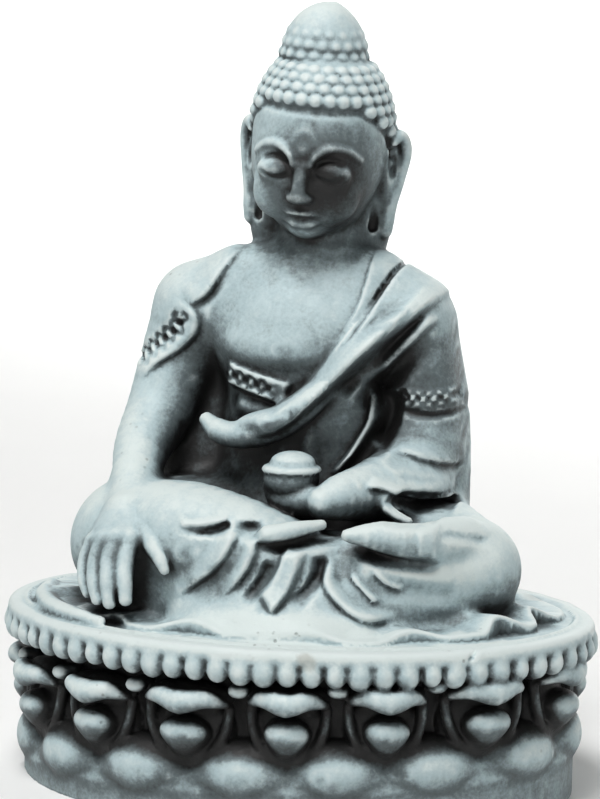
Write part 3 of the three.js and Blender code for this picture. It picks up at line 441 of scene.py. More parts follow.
def add_arms(field):
    left_arm = [
        (17.5, 10, 90, 8.8), (20.2, 10, 78, 8.2), (21, 8, 66, 9), (20.4, 2, 60.6, 7.6),
        (15.6, -8, 58.6, 5.6), (11.4, -14.4, 57.9, 4.4), (8.6, -18, 57.2, 3),
    ]
    field.join(limb(left_arm), 2)
    field.join(limb([(17, -8, 59, 3.4), (20.6, -12.6, 56.6, 2), (23.6, -12.4, 54, 1.2)], 2), 1)
    right_arm = [
        (-23.8, 10, 90, 9.2), (-27.4, 8.5, 80, 8), (-29.6, 4, 71, 6.9), (-31, -4.4, 63.8, 5.5),
        (-30, -11.6, 58.4, 4.5),
    ]
    field.join(limb(right_arm), 2)


# The fingers of the right hand, from the outer side to the thumb's.
FINGERS = [
    [(-33, -26, 48.4, 2.2), (-34.4, -27.6, 45.4, 1.6), (-34, -29.6, 42, 1.4), (-33, -30.8, 39.8, 1.1)],
    [(-30.6, -27.4, 49.4, 2.2), (-31.9, -29.2, 45.8, 1.7), (-31.5, -31.4, 42, 1.5), (-30.6, -32.4, 39, 1.2)],
    [(-28.2, -27.8, 49.8, 2.2), (-29.1, -30, 46.2, 1.8), (-28.6, -32.2, 42.2, 1.6), (-28, -33, 38.6, 1.3)],
    [(-25.8, -27.4, 49.8, 2.2), (-26.1, -29.8, 46.4, 1.9), (-25.5, -32, 42.6, 1.6), (-24.9, -33, 39.4, 1.3)],
]


def add_hands(field):
    field.join(limb([(-30, -11.6, 58.4, 4.5), (-29.2, -17, 55, 4.1), (-29, -21.4, 51.6, 4.4)]), 1.5)
    field.join(ellipsoid((-29, -21, 46.4), (6.6, 7.2, 7.4)), 2)
    wrist = (-28.6, -20.6, 53, 3.8)
    for finger in FINGERS:
        field.join(limb([wrist, finger[0]], 1), 1.4)
        field.join(limb(finger), 0.5)
    thumb = [
        (-25.6, -21, 53, 3), (-23.2, -25.6, 51, 2.1), (-21, -28.6, 48.8, 1.7), (-19.2, -30, 46.8, 1.4),
        (-18.2, -30.6, 45, 1),
    ]
    field.join(limb(thumb), 0.6)
    # The left hand, and the covered bowl that it holds.
    field.join(limb([(6, -16, 57, 3), (0.6, -14.6, 57, 3.2), (-2.4, -12.4, 59, 2)]), 0.8)
    field.join(ellipsoid((1.4, -13.4, 60.8), (5.3, 5.3, 4.4)), 0.5)
    field.join(ellipsoid((1.4, -13.4, 62.6), (5.7, 5.7, 1.6)), 0.3)
    field.join(ellipsoid((1.6, -13.4, 63.9), (4.3, 4.3, 2.2)), 0.2)


# The head in its own frame: X to the figure's left, Y back, Z up, origin between the ears.
lean = Euler((math.radians(HEAD_NOD), 0, 0)).to_matrix() @ Euler((0, math.radians(HEAD_LEAN), 0)).to_matrix()
head_frame = Matrix.Translation(HEAD_PIVOT) @ lean.to_4x4()
CAP = ((0, 2.4, 4.5), (14, 14.9, 18.8))
TOPKNOT = ((-0.8, 3, 19.2), (8.3, 8.3, 10.2))
# The skull, forms of (centre, radii), each with the width of the fillet that joins it.
SKULL = [
    (((0, 2.4, 4.5), (13.4, 14.2, 18)), 3),
    (((0, -1, -1.3), (12.2, 12.2, 12.6)), 2),
    (((0, -1.2, -6.4), (9.4, 9.6, 8.8)), 2),
]

# The face divides in thirds, from hairline to brow, to the foot of the nose, to the chin.
BROW = 1.9
EYE = -0.9
NOSE = -6.6
MOUTH = -9.9
CHIN = -14


def on_face(x, z, proud):
    """A point of the face, so far in front of the skin."""
    depths = np.linspace(-18, 0, 361)
    skin = np.full(depths.shape, FAR)
    for shape, blend in SKULL:
        skin = soft(skin, ellipsoid(*shape)[0][1](x, depths, z), blend)
    return (x, float(depths[np.argmax(skin < 0)]) - proud, z)


def face_limb(points):
    """A limb that follows the face through [x, z, proud, radius] points."""
    return limb([(*on_face(x, z, proud), radius) for x, z, proud, radius in points])


def add_head(field):
    def add(shape, blend):
        field.join(placed(shape, head_frame), blend)

    def cut(shape, blend):
        field.carve(placed(shape, head_frame), blend)

    def draw(points, height, width):
        """A line drawn on the face in its front view."""
        field.raise_by(placed(fold(points, height, width, near=-26, far=-2), head_frame))

    for shape, blend in SKULL:
        add(ellipsoid(*shape), blend)
    add(ellipsoid(*TOPKNOT), 0.4)
    add(limb([(-0.6, 3, 23.7, 5.6), (0.5, 3, 28.2, 1.5)]), 1)
    for side in (-1, 1):
        add(ellipsoid((side * 9.8, 6, -12.6), (4.4, 5, 9.4)), 2)
        add_eye(add, cut, draw, side)
        add_ear(add, cut, side)
        add(ellipsoid(on_face(side * 5.9, NOSE + 0.2, -2.5), (4.2, 2.9, 4.4)), 2.4)
        add(ellipsoid(on_face(side * 1.5, NOSE + 0.5, 0.1), (1.2, 1.5, 1)), 0.6)

    add_mouth(add, cut)
    add(face_limb([(0, BROW, -2, 1.2), (0, -2.6, 0.3, 1.2), (0, NOSE + 1, 1.3, 1.5)]), 1.4)
    add(ellipsoid(on_face(0, CHIN + 1.4, -1.6), (3.2, 2.4, 2.2)), 1.6)
    # The forehead is cut back a little under the lowest row of curls, from ear to ear.
    turns = [math.radians(turn) for turn in range(-96, 97, 16)]
    cut(limb([(*on_cap(turn, hairline(turn) - 0.3), 0.3) for turn in turns]), 1.4)


def add_eye(add, cut, draw, side):
    """A lowered eye: a soft socket under the brow, the ball under its lid, and the lids' creases."""
    cut(ellipsoid(on_face(side * 5.4, EYE + 0.9, 2.3), (5.2, 3, 3.4)), 1.8)
    add(ellipsoid(on_face(side * 5.2, EYE - 0.4, -1.5), (4, 2.2, 2.4)), 1)
    brow = [(1.7, -1.6, 0.7), (2.6, 0.2, 0.8), (5, 1.7, 0.8), (7.8, 1.4, 0.7), (10.2, -0.4, 0.5)]
    add(face_limb([(side * x, BROW + z, -0.1, radius) for x, z, radius in brow]), 0.8)
    edge = [(1.7, -0.4), (3.3, -1.3), (5.2, -1.7), (7.1, -1.3), (8.8, -0.2)]
    lid = [(2.2, 1), (3.7, 2), (5.3, 2.3), (7, 1.9), (8.4, 0.8)]
    for crease, height in ((edge, -0.5), (lid, -0.35)):
        draw([(side * x, EYE + z) for x, z in crease], height, 0.8)


def add_mouth(add, cut):
    for side in (-1, 1):
        upper = [(0.5, 0.7, 0, 0.9), (2, 0.7, -0.2, 0.85), (4, 0.1, -0.7, 0.6)]
        add(face_limb([(side * x, MOUTH + z, *rest) for x, z, *rest in upper]), 0.5)
    lower = [(-3.2, -0.7, -0.5, 0.7), (-1.4, -1.3, -0.1, 1.1), (1.4, -1.3, -0.1, 1.1), (3.2, -0.7, -0.5, 0.7)]
    add(face_limb([(x, MOUTH + z, *rest) for x, z, *rest in lower]), 0.4)
    cut(face_limb([(x, MOUTH - 0.1, 0.8, 0.3) for x in (-3.6, -1.2, 1.2, 3.6)]), 0.3)
    cut(ellipsoid(on_face(0, MOUTH + 2.2, 0.4), (0.6, 0.8, 0.9)), 0.6)
    cut(ellipsoid(on_face(0, MOUTH - 3, 0.6), (2.4, 0.9, 0.7)), 1)


def add_ear(add, cut, side):
    """A long ear: a rolled rim round a hollow, and a lobe that hangs to the jaw."""
    add(ellipsoid((side * 13, 5, -3), (2.2, 2.6, 8.4)), 1)
    rim = [
        (12.6, 3, -1, 1), (13.4, 2.6, 3.2, 1.2), (15, 4.4, 5, 1.3), (16, 6, 2.4, 1.3),
        (15.4, 5.4, -3, 1.2), (14.2, 4.4, -8, 1.4), (13.4, 4, -11.4, 1.9), (13.2, 4, -13.6, 1.8),
    ]
    add(limb([(side * x, y, z, r) for x, y, z, r in rim]), 0.5)
    cut(ellipsoid((side * 14.4, 2.6, -0.2), (0.9, 2, 3.4)), 0.5)
    cut(limb([(side * 11.9, 1.4, -9, 0.6), (side * 11.4, 2, -13, 0.9)]), 0.6)


# Worn curls are wider than they are far apart, and stand out less than they are wide.
CURL_PITCH = 0.94
CURL_WIDTH = 1.22
CURL_HEIGHT = 0.85


def add_curls(field, ball, rows, lowest=None):
    """Snail curls pressed on the cap or the topknot, in rows of (polar angle, radius, how proud)."""
    (cx, cy, cz), (rx, ry, rz) = ball
    for row, (polar, curl, proud) in enumerate(rows):
        polar = math.radians(polar)
        count = round(math.pi * rx * math.sin(polar) / (CURL_PITCH * curl))
        curl *= CURL_WIDTH
        for n in range(count):
            turn = 2 * math.pi * (n + 0.5 * (row % 2)) / count
            spot = (
                cx + (rx - curl + proud) * math.sin(polar) * math.sin(turn),
                cy - (ry - curl + proud) * math.sin(polar) * math.cos(turn),
                cz + (rz - curl + proud) * math.cos(polar),
            )
            if lowest is None or spot[2] >= lowest(turn):
                field.join(placed(ellipsoid(spot, (curl, curl, CURL_HEIGHT * curl)), head_frame), 0.25)


# Rows of curls, each (angle from the crown, radius of a curl, how proud of the ball it stands).
CAP_ROWS = [(43 + 7 * n, 1.45, 0.25 + 0.07 * n) for n in range(13)]
KNOT_ROWS = [(60, 1.3, 0.25), (74, 1.4, 0.4), (88, 1.45, 0.6)]


def hairline(turn):
    """The lowest height of the hair: level over the brow, lower at the temples and behind the ears."""
    away = abs(math.degrees(math.atan2(math.sin(turn), math.cos(turn))))
    return float(10.6 - 4.6 * smoothstep(away, 50, 85) - 15 * smoothstep(away, 85, 115))


def on_cap(turn, height):
    """The point of the cap at an angle round the head and a height."""
    (cx, cy, cz), (rx, ry, rz) = SKULL[0][0]
    across = math.sqrt(1 - ((height - cz) / rz) ** 2)
    return (cx + rx * across * math.sin(turn), cy - ry * across * math.cos(turn), height)


def wave(points, pitch, swing):
    """A run that winds to and fro across another, with four points to a pitch."""
    run = through(points, 8, 0)
    lengths = lengths_along(run)
    places = np.arange(0, lengths[-1], pitch / 4)
    at = np.stack([np.interp(places, lengths, run[:, n]) for n in (0, 1)], 1)
    along = np.gradient(at, axis=0)
    along /= np.linalg.norm(along, axis=1)[:, None]
    across = np.stack([-along[:, 1], along[:, 0]], 1)
    return at + across * (swing * np.sin(2 * np.pi * places / pitch))[:, None]


def worked(band, pitch, swing, height, width, **ends):
    """Two grooves that wind past each other along a band."""
    return [fold(wave(band, pitch, way * swing), height, width, **ends) for way in (1, -1)]


# The worked bands of the robe, along their middles: at the chest, the right shoulder and the left arm.
BELT = [(-15.6, 79.3), (-10, 77.7), (-4.8, 76.3), (-1.4, 75.6)]
SHOULDER_BAND = [(-25.2, 90.4), (-25.6, 87.6), (-29.4, 84.2), (-35.2, 79.4)]
ARM_BAND = [(18.4, 76), (24, 75.4), (30.6, 76.4)]

# Drapery, as [x, z] runs from the shoulder, hip or knee to the loose end. After each run come its
# height and its widths to the left and right.
FOLDS = [
    # The sash: a heavy rolled edge from the left shoulder, turned up in a loop at the right side.
    fold([(27, 97), (24, 94.4), (19, 89.8), (13, 84.4), (7.5, 78.8), (1.8, 73.4), (-3, 69.8), (-8, 68.2)],
         3.2, 1.3, (3.6, 4.6), fade=(0.3, 0.25)),
    fold([(21.4, 101), (18.5, 95.3), (15, 90.6), (10.8, 85.4), (6.2, 79.9), (1.2, 74.8), (-4, 71.4)],
         1.5, 1.4, 1.2, flat=(3, 0.8), fade=(0.35, 0.4)),
    # Edge of the robe where it lies on the chest, and the crease beside it.
    fold([(12.6, 104.5), (12, 97), (10, 90), (5, 82)], 0.7, 4, 0.8),
    fold([(18.4, 102), (16, 98.6), (12.4, 91), (8, 84.3)], -1, 0.8, 0.9),
    # Two lesser folds under the sash, with deep valleys between them.
    fold([(24, 92), (18, 86.4), (11.5, 80.4), (7, 75.6)], -1.6, 2.6, 2, fade=(0.5, 0.2)),
    fold([(25.5, 91.6), (22.5, 88.4), (18, 83.6), (12.9, 77.6)], 1.6, 1, 2.4),
    fold([(25, 87), (18.6, 82), (14, 77), (12, 72)], -2.2, 4, 3.4, fade=(0.4, 0.3)),
    # A thin fold that falls from under the arm to the bowl.
    fold([(12.6, 77.7), (13.5, 74.6), (13.6, 71), (11.6, 66.6), (9, 62.6), (6.6, 60)],
         2.2, 1.2, 1.4, near=-8, far=8),
    fold([(17, 77), (17, 71), (14.6, 66)], -2.6, 3, 2.4, near=-6, far=8),
    # Breast, belt and the hollow between them.
    fold([(-15.8, 87.5), (-13, 84.8), (-8.6, 83.6), (-2, 83.6), (4, 85)], 1, 6, 4),
    fold(BELT, 1.6, 1, flat=1.7, fade=(0.12, 0.2), near=-6.4),
    *worked(BELT, 5, 1, -0.6, 0.9, fade=(0.1, 0.3), near=-6.4),
    fold([(-14, 73.4), (-9, 72), (-3, 71.6)], 1, 2.6, 3),
    # Robe over the right shoulder and upper arm: its edge, and the worked band at its hem.
    fold([(-14.6, 103.6), (-17.7, 98.6), (-20.4, 94), (-24.4, 92)], 1.1, 1.2, 5),
    fold([(-16.2, 98.6), (-19, 94), (-23, 90.6)], -0.5, 1.6, 0.9, far=8, fade=(0.4, 0.4)),
    fold([(-27, 92.6), (-22.6, 90.4), (-22, 87), (-25, 83.4), (-30, 80.2), (-34, 76)], 1.2, 1, 3.6, far=16),
    *worked(SHOULDER_BAND, 4.6, 1.5, -0.8, 0.9, far=9, fade=(0.05, 0.05)),
    # Left sleeve: worked band, and the folds at the elbow.
    fold([(19, 76), (24, 75.4), (30, 76.4)], 1.2, 1.9, far=20),
    *worked(ARM_BAND, 4, 0.8, -0.7, 0.8, far=12, fade=(0.05, 0.05)),
    fold([(18.6, 73.2), (24.6, 72.2), (30, 73)], -0.8, 1, 1.2, far=20),
    fold([(18, 65.4), (24.3, 63.4), (30, 61.4)], -1.1, 1.6, 2, far=12),
    fold([(16, 61), (22, 59.6), (30, 58)], 1.2, 2, 1.2, far=8),
    fold([(19.6, 58.4), (24, 56), (31.4, 55.6)], -2.6, 1.2, 1.8, far=8),
    # Cloth drawn over the right shin.
    fold([(-16.4, 53.6), (-12, 53.9), (-6.4, 55)], 0.7, 0.9, far=-16),
    fold([(-16.6, 52.2), (-13, 52.1), (-9, 52.5), (-6, 53.8)],
         -1.6, (0.5, 1.9), (0.5, 1.7), fade=(0.7, 0.2), far=-16),
    fold([(-6, 53.2), (-3.8, 53), (-1.6, 53), (0.4, 53.8)], -1.7, 2, 1.7, fade=(0.4, 0.5), far=-16),
    fold([(-5, 53), (-6.1, 49.8), (-8.9, 45.9), (-13, 42.6), (-18.4, 39)], 1.4, 1, 3.6, fade=(0.1, 0.4)),
    fold([(-1.5, 51.8), (-1.5, 49), (-2.8, 46), (-4.8, 43.2), (-7.6, 40.6)], 1.2, 1, 2.8, fade=(0.1, 0.4)),
    fold([(-0.6, 50.6), (4, 50.2), (9, 51.2), (14, 51.4)], -1.2, 1.9, 1.6, fade=(0.3, 0.2), far=-16),
    fold([(6.2, 50.4), (5.2, 46), (3.6, 42.4), (1.4, 39.8)], 1.7, 1.4, flat=(1, 1.4), fade=(0.1, 0.25)),
    fold([(9.6, 49), (10, 46), (8.8, 42.8), (6, 40)], -1.4, 2.4, 1.4),
    fold([(1.6, 48), (0.2, 44), (-2.6, 40)], -1, 1.8, 1.4),
    # The band of cloth over the ankle, and the crease beside it.
    fold([(29.6, 55.4), (29.8, 52.4), (29.6, 48.4)], 0.5, 0.6, flat=1.2, far=-10),
    fold([(31.6, 53), (35, 52), (39.5, 50.2)], -0.5, 1.4, 1.2, far=-6),
    fold([(15.6, 50.4), (20, 48.6), (26, 47.2), (32.4, 46.8)], -1.2, 2, 1.8, far=-10),
    fold([(22, 44), (28, 42.4), (35, 41.6)], -0.5, 3, far=-4),
    # Folds that swing from the ankle round the left shin.
    fold([(11.2, 47.3), (13.6, 43), (18.4, 39.4), (25.2, 37.6)], 1.3, 1.4, 1.8),
    fold([(15.6, 46), (19, 42.8), (21.6, 40.4)], 0.8, 0.9),
    fold([(20.2, 47), (22.6, 44.2), (25.6, 42.8)], 0.8, 0.9),
]

# Cloth spread on the plate under the figure. Its hem waves in and out, and lifts in small arches.
# Each arch is (angle from +X round to +Y, half width in degrees, height in mm).
ARCHES = [
    *((-9, 8, 2), (-29, 9, 2.2), (-54, 9, 1.5), (-77, 9, 1), (-104, 10, 1.8), (-124, 6, 1), (-158, 9, 1.2)),
    *((angle, 8, 1.2) for angle in (32, 62, 90, 118, 150)),
]


def hem_distance(x, y, z):
    turn = np.arctan2(y / RING_Y, x / RING_X)
    reach = length(x / RING_X, y / RING_Y)
    lift = np.zeros_like(turn)
    for angle, width, height in ARCHES:
        away = turn - math.radians(angle)
        away = np.arctan2(np.sin(away), np.cos(away))
        lift = np.maximum(lift, height * bump(away / math.radians(width)))
    rim = 0.985 - 0.03 * lift + 0.015 * np.sin(9 * turn)
    out = (reach - rim) * RING_Y
    fall = 2.2 * smoothstep(rim - reach, 0.12, 0.5)
    thick = 1 + 0.9 * smoothstep(np.abs(x), 26, 44) * smoothstep(-y, -6, 6)
    up = z - PLATE_TOP - thick - lift * smoothstep(reach, 0.45, 0.9) - fall
    return rounded(out, up, 0.6)


HEM = [(ring_box(3, PLATE_TOP - 2, PLATE_TOP + 6), hem_distance)]

# At the right side the hem lies in a thick roll.
HEM_ROLL = [
    (-29.6, -33, 35, 0.9), (-35.5, -29.8, 35.2, 1.4), (-42, -24, 35.2, 1.7), (-47.6, -13.6, 35.2, 1.8),
    (-49.8, -3, 35, 1.5),
]


def build():
    field = Field(GRID_LOW, GRID_HIGH, CELL)
    add_plinth(field)
    field.join(HEM, 0.4)
    field.join(limb(HEM_ROLL), 1)
    add_body(field)
    add_legs(field)
    add_arms(field)
    add_hands(field)
    add_head(field)
    add_curls(field, CAP, CAP_ROWS, hairline)
    add_curls(field, TOPKNOT, KNOT_ROWS)
    for relief in FOLDS:
        field.raise_by(relief)
    # The underside is cut flat.
    span = field.span((GRID_LOW, (*GRID_HIGH[:2], FOOT_TOP)), 0)
    field.values[span] = np.maximum(field.values[span], -field.places(span)[2])
    return field


# Corners of a cell of the grid, as steps along X, Y and Z.
CORNERS = [(c & 1, c >> 1 & 1, c >> 2) for c in range(8)]


def corner_to_fill(mask):
    """The corner of a cell to fill so that no two sheets of the surface touch in it, or -1."""
    for base in (0, 1, 2, 4):
        for u, v in ((1, 2), (2, 4), (4, 1)):
            if base & (u | v):
                continue
            face = [mask >> c & 1 for c in (base, base | u, base | u | v, base | v)]
            if face[0] == face[2] and face[1] == face[3] and face[0] != face[1]:
                return base | u if face[0] else base
    for c in range(4):
        pair = 1 << c | 1 << (7 - c)
        if mask == pair:
            return c ^ 1
        if mask == 255 - pair:
            return c
    return -1


def masks(values):
    """For each cell, which of its corners are inside, as the bits of a byte."""
    inside = (values < 0).astype(np.uint8)
    nx, ny, nz = (n - 1 for n in values.shape)
    mask = np.zeros((nx, ny, nz), np.uint8)
    for c, (i, j, k) in enumerate(CORNERS):
        mask |= inside[i:i + nx, j:j + ny, k:k + nz] << c
    return mask


def fill_touches(values):
    table = np.array([corner_to_fill(mask) for mask in range(256)], np.int8)
    steps = np.array(CORNERS)
    while True:
        mask = masks(values)
        fill = table[mask]
        cells = np.argwhere(fill >= 0)
        if not len(cells):
            return mask
        spots = cells + steps[fill[tuple(cells.T)]]
        values[tuple(spots.T)] = -0.01


def surface_nets(field):
    """One vertex in each cell that the surface crosses, one quad across each crossed edge."""
    values = field.values
    mask = fill_touches(values)
    cells = np.argwhere((mask > 0) & (mask < 255))
    vertex_of = np.full(mask.shape, -1, np.int32)
    vertex_of[tuple(cells.T)] = np.arange(len(cells))
    corner = [values[tuple((cells + step).T)] for step in CORNERS]
    total = np.zeros((len(cells), 3))
    cuts = np.zeros(len(cells))
    for c, step in enumerate(CORNERS):
        for axis in range(3):
            other = c | 1 << axis
            if other == c:
                continue
            a, b = corner[c], corner[other]
            cut = (a < 0) != (b < 0)
            share = a[cut] / (a[cut] - b[cut])
            for n in range(3):
                total[cut, n] += share if n == axis else step[n]
            cuts[cut] += 1
    points = field.low + field.cell * (cells + total / cuts[:, None])
    quads = []
    for axis in range(3):
        a = np.moveaxis(values, axis, 0)
        inside = a < 0
        crossed = inside[:-1] != inside[1:]
        spots = np.argwhere(crossed)
        outward = inside[:-1][tuple(spots.T)]
        order = [axis] + [n for n in range(3) if n != axis]
        at = np.empty_like(spots)
        at[:, order] = spots
        u, v = np.eye(3, dtype=int)[[(axis + 1) % 3, (axis + 2) % 3]]
        quad = np.stack([vertex_of[tuple((at - shift).T)] for shift in (0 * u, u, u + v, v)], 1)
        quad[~outward] = quad[~outward][:, ::-1]
        quads.append(quad)
    return points, np.vstack(quads)


def into_scene(name, data):
    """A new object of the scene."""
    piece = bpy.data.objects.new(name, data)
    bpy.context.scene.collection.objects.link(piece)
    return piece


def to_mesh(points, quads):
    mesh = bpy.data.meshes.new("net")
    mesh.vertices.add(len(points))
    mesh.vertices.foreach_set("co", (points * MM).astype(np.float32).ravel())
    mesh.loops.add(quads.size)
    mesh.loops.foreach_set("vertex_index", quads.astype(np.int32).ravel())
    mesh.polygons.add(len(quads))
    mesh.polygons.foreach_set("loop_start", np.arange(0, quads.size, quads.shape[1], dtype=np.int32))
    mesh.update(calc_edges=True)
    return mesh


def vertex_array(mesh):
    points = np.empty(len(mesh.vertices) * 3, np.float32)
    mesh.vertices.foreach_get("co", points)
    return points.reshape(-1, 3)


def importance(points):
    """How closely the thinned mesh keeps to the solid: most on the head, least on the underside."""
    x, y, z = points.T
    behind = smoothstep(y, 10, 18)
    head = smoothstep(z, 98, 106)
    kept = 0.55 + 0.45 * head - 0.45 * behind * (1 - 0.5 * head)
    return np.where((z < UNDERSIDE) & (ring_offset(x, y) < 0), 0.02, np.clip(kept, 0.02, 1))


def thinned(mesh):
    """The mesh, thinned to KEPT_FACES with most of them left where the carving is."""
    piece = into_scene("thinning", mesh)
    group = piece.vertex_groups.new(name="keep")
    weights = np.round(importance(vertex_array(mesh) / MM), 1)
    for weight in np.unique(weights):
        group.add(np.flatnonzero(weights == weight).tolist(), float(weight), "REPLACE")
    thin = piece.modifiers.new("thin", "DECIMATE")
    triangles = sum(len(p.vertices) - 2 for p in mesh.polygons)
    thin.ratio = min(1, KEPT_FACES / triangles)
    thin.vertex_group = group.name
    thin.invert_vertex_group = True
    thin.vertex_group_factor = 1
    thin.use_collapse_triangulate = True
    result = bpy.data.meshes.new_from_object(piece.evaluated_get(bpy.context.evaluated_depsgraph_get()))
    bpy.data.objects.remove(piece)
    bpy.data.meshes.remove(mesh)
    return result


def blurred(values, reach):
    """A box blur, twice, over reach cells to each side."""
    for _ in range(2):
        for axis in range(3):
            ends = [(0, 0)] * 3
            ends[axis] = (reach + 1, reach)
            total = np.cumsum(np.pad(values, ends, "edge"), axis, dtype=np.float32)
            count = values.shape[axis]
            ahead = np.take(total, np.arange(2 * reach + 1, 2 * reach + 1 + count), axis)
            values = (ahead - np.take(total, np.arange(count), axis)) / (2 * reach + 1)
    return values


def sampled(volume, field, points):
    """A volume's value at each point, between its nodes."""
    at = (points - field.low) / field.cell
    at = np.clip(at, 0, np.array(volume.shape) - 1.001)
    base = at.astype(int)
    part = at - base
    result = np.zeros(len(points))
    for step in CORNERS:
        share = np.prod([part[:, n] if step[n] else 1 - part[:, n] for n in range(3)], axis=0)
        result += share * volume[tuple((base + step).T)]
    return result


def outward(field, points):
    """The way out of the solid at each point, as unit vectors."""
    near = np.clip(field.values, -2 * field.cell, 2 * field.cell)
    slopes = []
    for step in 0.6 * field.cell * np.eye(3):
        slopes.append(sampled(near, field, points + step) - sampled(near, field, points - step))
    slopes = np.stack(slopes, 1)
    return slopes / np.maximum(np.linalg.norm(slopes, axis=1), 1e-9)[:, None]


# How full of clay the space within a reach of each point is: over a half in hollows, under on crests.
HOLLOWS = {"hollow_fine": 1.2, "hollow_near": 4}
# The upright wall of the foot is toned evenly, with these values.
WALL_TONES = {"hollow_fine": 0.5, "hollow_near": 0.5, "open_sky": 0.6}
# Edges that turn by more than so many degrees are sharp.
SHARP = 60

# Spots made darker by a depth over 0 and lighter by one under 0, as (centre, radii, depth): partly the dark
# wash left on past the hollows and rubbed off, partly painted shade on the face and its right side, under the
# brow, breast and bowl, between sash and left arm, by the right hand and low round the plinth, and painted
# light on the shins and the front of the plate.
WASH_AND_PAINTED_LIGHT = [
    ((1, -8, 117), (14, 12, 15), 0.36),
    ((9, -4, 116), (10, 12, 15), 0.34),
    ((0.4, -4, 119.4), (11, 8, 5), 0.14),
    ((-6, -6, 74), (16, 12, 9), 0.1),
    ((1.5, -14, 62), (9, 9, 7), 0.14),
    ((24, 6, 76), (13, 16, 18), 0.3),
    ((16, -4, 72), (9, 16, 14), 0.1),
    ((-30, -28, 46), (10, 10, 14), 0.22),
    ((30, -16, 45), (18, 18, 11), -0.36),
    ((-14, -22, 50), (12, 12, 8), -0.1),
    ((-18, -27, 40), (8, 10, 8), -0.3),
    ((8, -32, 35), (62, 28, 6), -0.3),
    ((0, 0, 14), (70, 60, 16), 0.14),
]


def openness(field, points, normals, ways=80, reach=34, stride=2, lift=0.9, side=0.4):
    """How much light from all round and above reaches each point past the solid, from 0 to 1.

    It is looked for in so many ways for so far, from a lift off the surface, in every stride-th node.
    Level light is side times as strong as light from above.
    """
    solid = field.values[::stride, ::stride, ::stride] < 0
    pitch = field.cell * stride
    starts = points + lift * normals
    golden = math.pi * (3 - math.sqrt(5))
    total, most = np.zeros(len(points)), 0
    for n in range(ways):
        height = 1 - (2 * n + 1) / ways
        across = math.sqrt(1 - height * height)
        way = np.array((across * math.cos(n * golden), across * math.sin(n * golden), height))
        weight = side + (1 - side) * max(height, 0)
        cosine = normals @ way
        seen = np.flatnonzero(cosine > 0.02)
        far = 0.5
        while far < reach and len(seen):
            spots = ((starts[seen] + far * way - field.low) / pitch).round().astype(int)
            inside = np.all((spots >= 0) & (spots < solid.shape), 1)
            spots = np.clip(spots, 0, np.array(solid.shape) - 1)
            blocked = solid[tuple(spots.T)] & inside
            blocked |= starts[seen, 2] + far * way[2] < -0.5
            seen = seen[~blocked]
            far += 0.6 + 0.12 * far
        total[seen] += weight * cosine[seen]
        most += weight * max(height, 0)
    return total / most


def wash_and_painted_light(points):
    """How much darker each point is made, past what its hollows hold: the dark wash left on the clay, with
    painted shade and painted light.
    """
    left = np.zeros(len(points))
    for centre, radii, depth in WASH_AND_PAINTED_LIGHT:
        left += depth * bump(np.linalg.norm((points - centre) / radii, axis=1))
    # Painted light on the proud lobes, and painted shade between the lobes and the lips, under the lips'
    # overhang, on all but the bosses.
    x, y, z = points.T
    level = z - SLANT * x
    proud = ring_offset(x, y)
    above_lobes = smoothstep(level, 11, 14)
    left -= 0.2 * smoothstep(proud, 2.2, 3.8) * (1 - above_lobes)
    return left + 0.4 * smoothstep(4 - proud, 0, 2) * above_lobes * smoothstep(27 - level, 0, 4)


def make_statue():
    field = build()
    mesh = thinned(to_mesh(*surface_nets(field)))
    mesh.name = "terracotta_buddha"
    spots = vertex_array(mesh).astype(float) / MM
    measures = {"wash_and_painted_light": wash_and_painted_light(spots)}
    inside = (field.values < 0).astype(np.float32)
    for name, reach in HOLLOWS.items():
        measures[name] = sampled(blurred(inside, max(1, round(reach / 2 / field.cell))), field, spots)
    normals = outward(field, spots)
    # Painted shade: the colour is made darker where less light from above and around reaches the clay.
    measures["open_sky"] = openness(field, spots, normals)
    x, y, z = spots.T
    wall = (1 - smoothstep(z - SLANT * x, 2, 8)) * (ring_offset(x, y) > 0)
    for name, even in WALL_TONES.items():
        measures[name] += wall * (even - measures[name])
    for name, values in measures.items():
        attribute = mesh.attributes.new(name, "FLOAT", "POINT")
        attribute.data.foreach_set("value", values.astype(np.float32))
    mesh.shade_smooth()
    # The thinned mesh is shaded as the solid itself, and keeps the sharp edge round its underside.
    normals[z < UNDERSIDE] = 0
    mesh.set_sharp_from_angle(angle=math.radians(SHARP))
    mesh.normals_split_custom_set_from_vertices(normals)
    return into_scene("terracotta_buddha", mesh)


